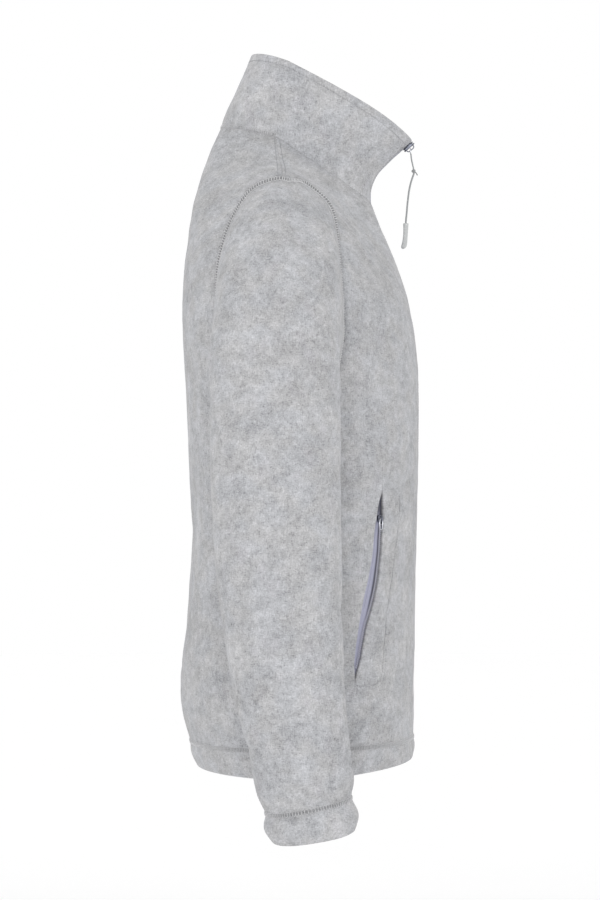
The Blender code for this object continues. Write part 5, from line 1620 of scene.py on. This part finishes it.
def lofted(sections, look, name, place, body="garment", replaces=()):
    """A smooth closed piece through outlines of equal count, each a ring of points, in its own axes."""
    around, last = len(sections[0]), 1 + (len(sections) - 1) * len(sections[0])
    ends = [np.mean(section, axis=0)[None] for section in (sections[0], sections[-1])]
    points = np.concatenate([ends[0], *sections, ends[1]])
    quads, triangles = walls(len(sections), around, first=1), []
    for k in range(around):
        n = (k + 1) % around
        triangles += [(0, 1 + n, 1 + k), (len(points) - 1, last + k, last + n)]
    points = moved(points, place)
    a, b, c = (points[np.array(quads)[:, i]] for i in range(3))
    if (np.cross(b - a, c - a) * (a - points.mean(axis=0))).sum() < 0:
        quads, triangles = [q[::-1] for q in quads], [t[::-1] for t in triangles]
    return add_piece(name, points, quads, look, body=body, replaces=replaces, triangles=triangles)


def ring_path(points, thickness, sides=14, closed=True):
    """Rings of points round a path."""
    points = np.asarray(points, float)
    step = np.roll(points, -1, axis=0) - np.roll(points, 1, axis=0) if closed else np.gradient(points, axis=0)
    along = unit(step)
    side = unit(np.cross(along, np.array([0.0, 1.0, 0.013])))
    up = np.cross(side, along)
    turns = round_turns(sides)[None, :, None]
    return points[:, None] + (np.cos(turns) * side[:, None] + np.sin(turns) * up[:, None]) * thickness / 2


def swept(rings, closed):
    """Quads and, on an open path, end faces for rings of points."""
    count, sides = rings.shape[:2]
    quads = walls(count, sides, closed)
    if not closed:
        last = (count - 1) * sides
        for k in range(1, sides - 1, 2):
            quads.append((0, (k + 2) % sides, k + 1, k))
            quads.append((last, last + k, last + k + 1, last + (k + 2) % sides))
    return rings.reshape(-1, 3), np.array(quads)


def outline(length, width, waist):
    """A slider's plate from above: wide shoulders at its head, and narrower toward its tail."""
    turns = round_turns(40)
    y = length / 2 * power_of(np.sin(turns), 0.62)
    half = width / 2 * (1 - waist * fade(-y, -length * 0.25, length * 0.5))
    return np.stack([half * power_of(np.cos(turns), 0.55), y], axis=-1)


def plate(shape, low, high, edge):
    """Outlines from a plate's underside to its top, with rounded edges."""
    rings = []
    for share, z in ((0.90, low), (0.97, low + edge * 0.35), (1.0, low + edge), (1.0, high - edge),
                     (0.97, high - edge * 0.35), (0.90, high)):
        rings.append(np.column_stack([shape * share, np.full(len(shape), z)]))
    return rings


def slider_parts(name, length, width, thickness, rise, look, place, replaces):
    """A zip's slider: two plates, the flanges between them, and the bridge that holds the pull."""
    shape = outline(length, width, SLIDER_WAIST)
    deck = thickness * 0.42
    lofted(plate(shape, thickness - deck, thickness, 0.0005), look, f"{name}_top", place, replaces=replaces)
    lofted(plate(shape * 0.97, 0.0, deck * 0.8, 0.0004), look, f"{name}_under", place)
    turns = round_turns(12)
    for side in (1, -1):
        rings = []
        for level in np.linspace(-0.42, 0.36, 9):
            reach = width / 2 * (1 - SLIDER_WAIST * fade(-level, -0.25, 0.5)) * 0.90
            rings.append(np.stack([side * reach + 0.0005 * np.cos(turns), np.full(12, level * length),
                                   thickness * 0.5 + thickness * 0.36 * np.sin(turns)], axis=-1))
        lofted(rings, look, side_name(f"{name}_flange", side), place)
    turns = np.linspace(0, math.pi, 30)
    half = length * BRIDGE_SHARE / 2 - BRIDGE_THICKNESS * 0.5
    y = -half * power_of(np.cos(turns), 0.55)
    z = thickness - 0.0003 + (rise - BRIDGE_THICKNESS * 0.35) * np.abs(np.sin(turns)) ** 0.55
    path = np.stack([np.zeros_like(y), y, z], axis=-1)
    across = np.array([1.0, 0.0, 0.0])
    up = np.cross(across[None], unit(np.gradient(path, axis=0)))
    c, s = (power_of(way(round_turns(16)), 0.6)[None, :, None] for way in (np.cos, np.sin))
    wide = BRIDGE_WIDTH * (0.86 + 0.14 * np.abs(np.cos(turns)))[:, None, None]
    rings = path[:, None] + c * wide / 2 * across + s * BRIDGE_THICKNESS / 2 * up[:, None]
    lofted(rings, look, f"{name}_bridge", place)


def look_along(origin, x_axis, y_axis, z_axis):
    """A matrix that stands a piece made round its own origin in its place."""
    matrix = Matrix((x_axis, y_axis, z_axis)).transposed().to_4x4()
    matrix.translation = origin
    return matrix


def station(table, level, around, side=1):
    """Point and axes there: across the zip, up it, and out of the cloth."""
    point, normal, _, rise = (v[0] for v in body_frame(np.array([around]), np.array([level]), table))
    across = np.cross(rise, normal)
    flip = np.array([side, 1.0, 1.0])
    return [Vector(v) for v in (point * flip, across * flip * side, rise * flip, normal * flip)]


def oval_ring(width, length, wire):
    """A ring of wire of this size over all, from its top at the origin down, x across and z up."""
    turns = round_turns(64)
    across = (width - wire) / 2 * power_of(np.sin(turns), 0.62)
    upward = (length - wire) / 2 * (power_of(np.cos(turns), 0.62) - 1)
    return swept(ring_path(np.stack([across, np.zeros(64), upward], axis=-1), wire), True)


# The main pull: eye, cord, knot and grip, hanging from the slider's bridge.

UPPER_SHARE = 0.78  # the cord above the knot is this much of the cord below it
UPPER_END = (0.0195, 0.0275)  # how far below the hinge it thickens
CUT_END = ((0, 0, 0), (0.0003, -0.0017, -0.0010), (0.0004, -0.0034, -0.0031), (0.0003, -0.0040, -0.0044))
GRIP_LEVELS = (0.0, 0.004, 0.012, 0.03, 0.06, 0.10, 0.14, 0.18, 0.26, 0.34, 0.42, 0.50, 0.58, 0.66, 0.74,
               0.82, 0.88, 0.92, 0.95, 0.975, 0.990, 0.998, 1.0)  # its rings, as shares of its length


def pull_cord(hinge, look):
    """One cord from the eye through the knot to the grip."""
    upper = [(0.0, -forward, -below) for forward, below in CORD_ROUTE]
    lower = [(0.0, -forward, -below) for forward, below in CORD_ROUTE_BELOW]
    end = [(0.0, lower[-1][1], lower[-1][2] - 0.0015)]
    route = smooth_route([(0.0, -0.0002, -0.0050), *upper, *lower, *end], 90)
    curve = bpy.data.curves.new("pull_cord", "CURVE")
    curve.dimensions = "3D"
    curve.bevel_depth = CORD_THICKNESS / 2
    curve.bevel_resolution = 4
    curve.use_fill_caps = True
    spline = curve.splines.new("POLY")
    spline.points.add(len(route) - 1)
    for point, where in zip(spline.points, route):
        point.co = (*(where + np.array(hinge)), 1.0)
        point.radius = UPPER_SHARE + (1 - UPPER_SHARE) * float(fade(-where[2], *UPPER_END))
    curve.materials.append(look)
    made = bpy.data.objects.new("pull_cord", curve)
    DRESS.objects.link(made)
    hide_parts("pull_cord_upper", "pull_cord_lower")
    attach(made, "main_pull")
    return made, route[0] + np.array(hinge), run_of(route)[-1]


def pull_knot(hinge, look):
    """An overhand knot with its short cut end."""
    top, foot = CORD_ROUTE[-1], CORD_ROUTE_BELOW[0]
    centre = np.array((0.0, -(top[0] + foot[0]) / 2, -(top[1] + foot[1]) / 2)) + np.array(hinge)
    turns = round_turns(90)
    x = (2 + np.cos(3 * turns)) * np.cos(2 * turns)
    z = (2 + np.cos(3 * turns)) * np.sin(2 * turns)
    y = 1.6 * np.sin(3 * turns)
    path = np.stack([y, x, z], axis=-1) * 0.00052 + centre
    strands = swept(ring_path(path, CORD_THICKNESS * 0.86, 12), True)
    end = swept(ring_path(smooth_route(CUT_END, 12) + centre, CORD_THICKNESS * 0.66, 12, False), False)
    points, quads = joined([strands, end])
    return add_piece("pull_knot_tied", points, quads, look, body="main_pull",
                     replaces=("pull_knot",))


def pull_grip(hinge, look):
    """The moulded grip: a collar round the cord, a slim waist and a rounded toe."""
    start_forward, start_below = CORD_ROUTE_BELOW[-1]
    turns = round_turns(28)
    x_way, y_way = power_of(np.cos(turns), 0.7), power_of(np.sin(turns), 0.7)
    rings = []
    for share in GRIP_LEVELS:
        rounded = max(0.05, math.sqrt(max(0.0, 1 - max(0.0, (share - 0.86) / 0.14) ** 2)))
        entry = 0.72 + 0.28 * math.sqrt(max(0.0, 1 - max(0.0, 1 - share / 0.02) ** 2))
        waist = math.sin(math.pi * min(1.0, share / 0.86))
        x = GRIP_THICKNESS / 2 * rounded * entry * (1 - 0.22 * waist) * x_way
        y = GRIP_WIDTH / 2 * rounded * entry * (1 - 0.16 * waist**0.8) * y_way
        forward = start_forward - GRIP_BEND * share**2 - 0.0009 * max(0.0, (share - 0.7) / 0.3) ** 2
        level = -start_below - SEAM_GAP - GRIP_LENGTH * share
        rings.append(np.stack([x, y - forward, np.full_like(x, level)], axis=-1))
    return lofted(rings, look, "pull_grip_moulding", Matrix.Translation(hinge), body="main_pull",
                  replaces=("pull_grip",))


# Putting it together.

make_camera()

slider_level = COLLAR_EDGE - SLIDER_BELOW_EDGE
slider_point, slider_across, slider_rise, slider_normal = station(COLLAR, slider_level, 0.0)
slider_at = slider_point - slider_normal * (COIL_SUNK - SEAM_GAP)
main_hinge = slider_at + slider_normal * (SLIDER_THICKNESS + (BRIDGE_RISE - BRIDGE_THICKNESS) / 2)

cord_cloth = braided_cord("pull_cord_braid", (0.33, 0.34, 0.345, 1.0))
grip_rubber = moulded("pull_grip_rubber", (0.50, 0.51, 0.51, 1.0), 0.50)
metal = moulded("zip_metal_satin", (0.66, 0.67, 0.71, 1.0), 0.28, 0.08, 1.0)
dark_metal = moulded("zip_slider_metal", (0.18, 0.19, 0.23, 1.0), 0.34, 0.10, 1.0)

cord, cord_exit, cord_length = pull_cord(main_hinge, cord_cloth)
knot = pull_knot(main_hinge, cord_cloth)
grip = pull_grip(main_hinge, grip_rubber)

make_stage()
fleece = heather_fleece("heather_fleece")
# The collar and the bands are the same fleece made lighter: painted light.
painted_light_collar_fleece = heather_fleece("fleece_collar_painted_light", 1.06)
painted_light_band_fleece = heather_fleece("fleece_band", 1.04)
chain_thread = spun_thread("armhole_thread", (0.72, 0.72, 0.73, 1.0))
# Dark threads between the rungs of the cover stitches: painted shade.
painted_shade_thread = spun_thread("painted_shade_thread", (0.33, 0.332, 0.345, 1.0))
thread = spun_thread("sewing_thread", (0.58, 0.58, 0.59, 1.0))
# Darker than the fleece: the thread's own grey, made darker still as painted shade of the holes it sinks
# into.
plain_thread = spun_thread("topstitch_thread", (0.28, 0.285, 0.30, 1.0))
tape = woven_tape("zip_tape_twill", (0.350, 0.355, 0.455, 1.0))
coil = moulded("zip_coil_nylon", (0.40, 0.41, 0.50, 1.0), 0.45)
pocket_coil = moulded("pocket_coil_nylon", (0.58, 0.58, 0.66, 1.0), 0.45)

eye_points, eye_quads = oval_ring(EYE_WIDTH, EYE_LENGTH, EYE_WIRE)
add_piece("zip_pull_eye_ring", eye_points + np.array(main_hinge), eye_quads, metal, body="main_pull",
          replaces=("zip_pull_eye",))
slider_parts("zip_slider", SLIDER_LENGTH, SLIDER_WIDTH, SLIDER_THICKNESS, BRIDGE_RISE, dark_metal,
             look_along(slider_at, slider_across, slider_rise, slider_normal), ("zip_slider",))


def pocket_pull(side, slider_look, ring_look):
    """A pocket zip's slider, and the ring that hangs from its bridge."""
    place = POCKET.read(np.array([POCKET_SLIDER_AT]))
    around = math.radians(float(place["slit_front"][0] + place["slit_back"][0]) / 2)
    point, across, rise, normal = station(BODY, POCKET_SLIDER_AT, around, side)
    origin = point - normal * FLEECE
    name = side_name("pocket_slider", side)
    slider_parts(name, POCKET_SLIDER_LENGTH, POCKET_SLIDER_WIDTH, POCKET_SLIDER_THICKNESS, POCKET_BRIDGE_RISE,
                 slider_look, look_along(origin, across, rise, normal), (name,))
    hinge = origin + normal * (POCKET_SLIDER_THICKNESS + (POCKET_BRIDGE_RISE - BRIDGE_THICKNESS) / 2)
    points, quads = oval_ring(POCKET_RING_WIDTH, POCKET_RING_LENGTH, POCKET_RING_WIRE)
    name = side_name("pocket_ring", side)
    add_piece(f"{name}_wire", moved(points, look_along(hinge, across, -normal, rise)), quads, ring_look,
              body=side_name("pocket_pull", side), replaces=(name,))


back_piece, hem_piece, collar_piece = back(fleece), hem(painted_light_band_fleece), collar(painted_light_collar_fleece)
hem_ladder(thread, painted_shade_thread)
collar_rows(plain_thread)
neck_ladder(thread)
front_tapes(tape)
for side in (1, -1):
    welt = Welt(side)
    front_piece, sleeve_piece = front(side, fleece), sleeve(side, fleece)
    rows = [front_row(side, plain_thread), shoulder_rows(side, plain_thread), welt.stitches(plain_thread)]
    armhole_ladder(side, chain_thread, painted_shade_thread)
    cuff(side, painted_light_band_fleece)
    cuff_ladder(side, thread, painted_shade_thread)
    welt.strip(fleece)
    pocket_tape(side, tape)
    pocket_teeth(side, pocket_coil)
    pocket_pull(side, dark_metal, metal)
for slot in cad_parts["zip_foot"].material_slots:
    slot.material = metal
front_teeth(coil)
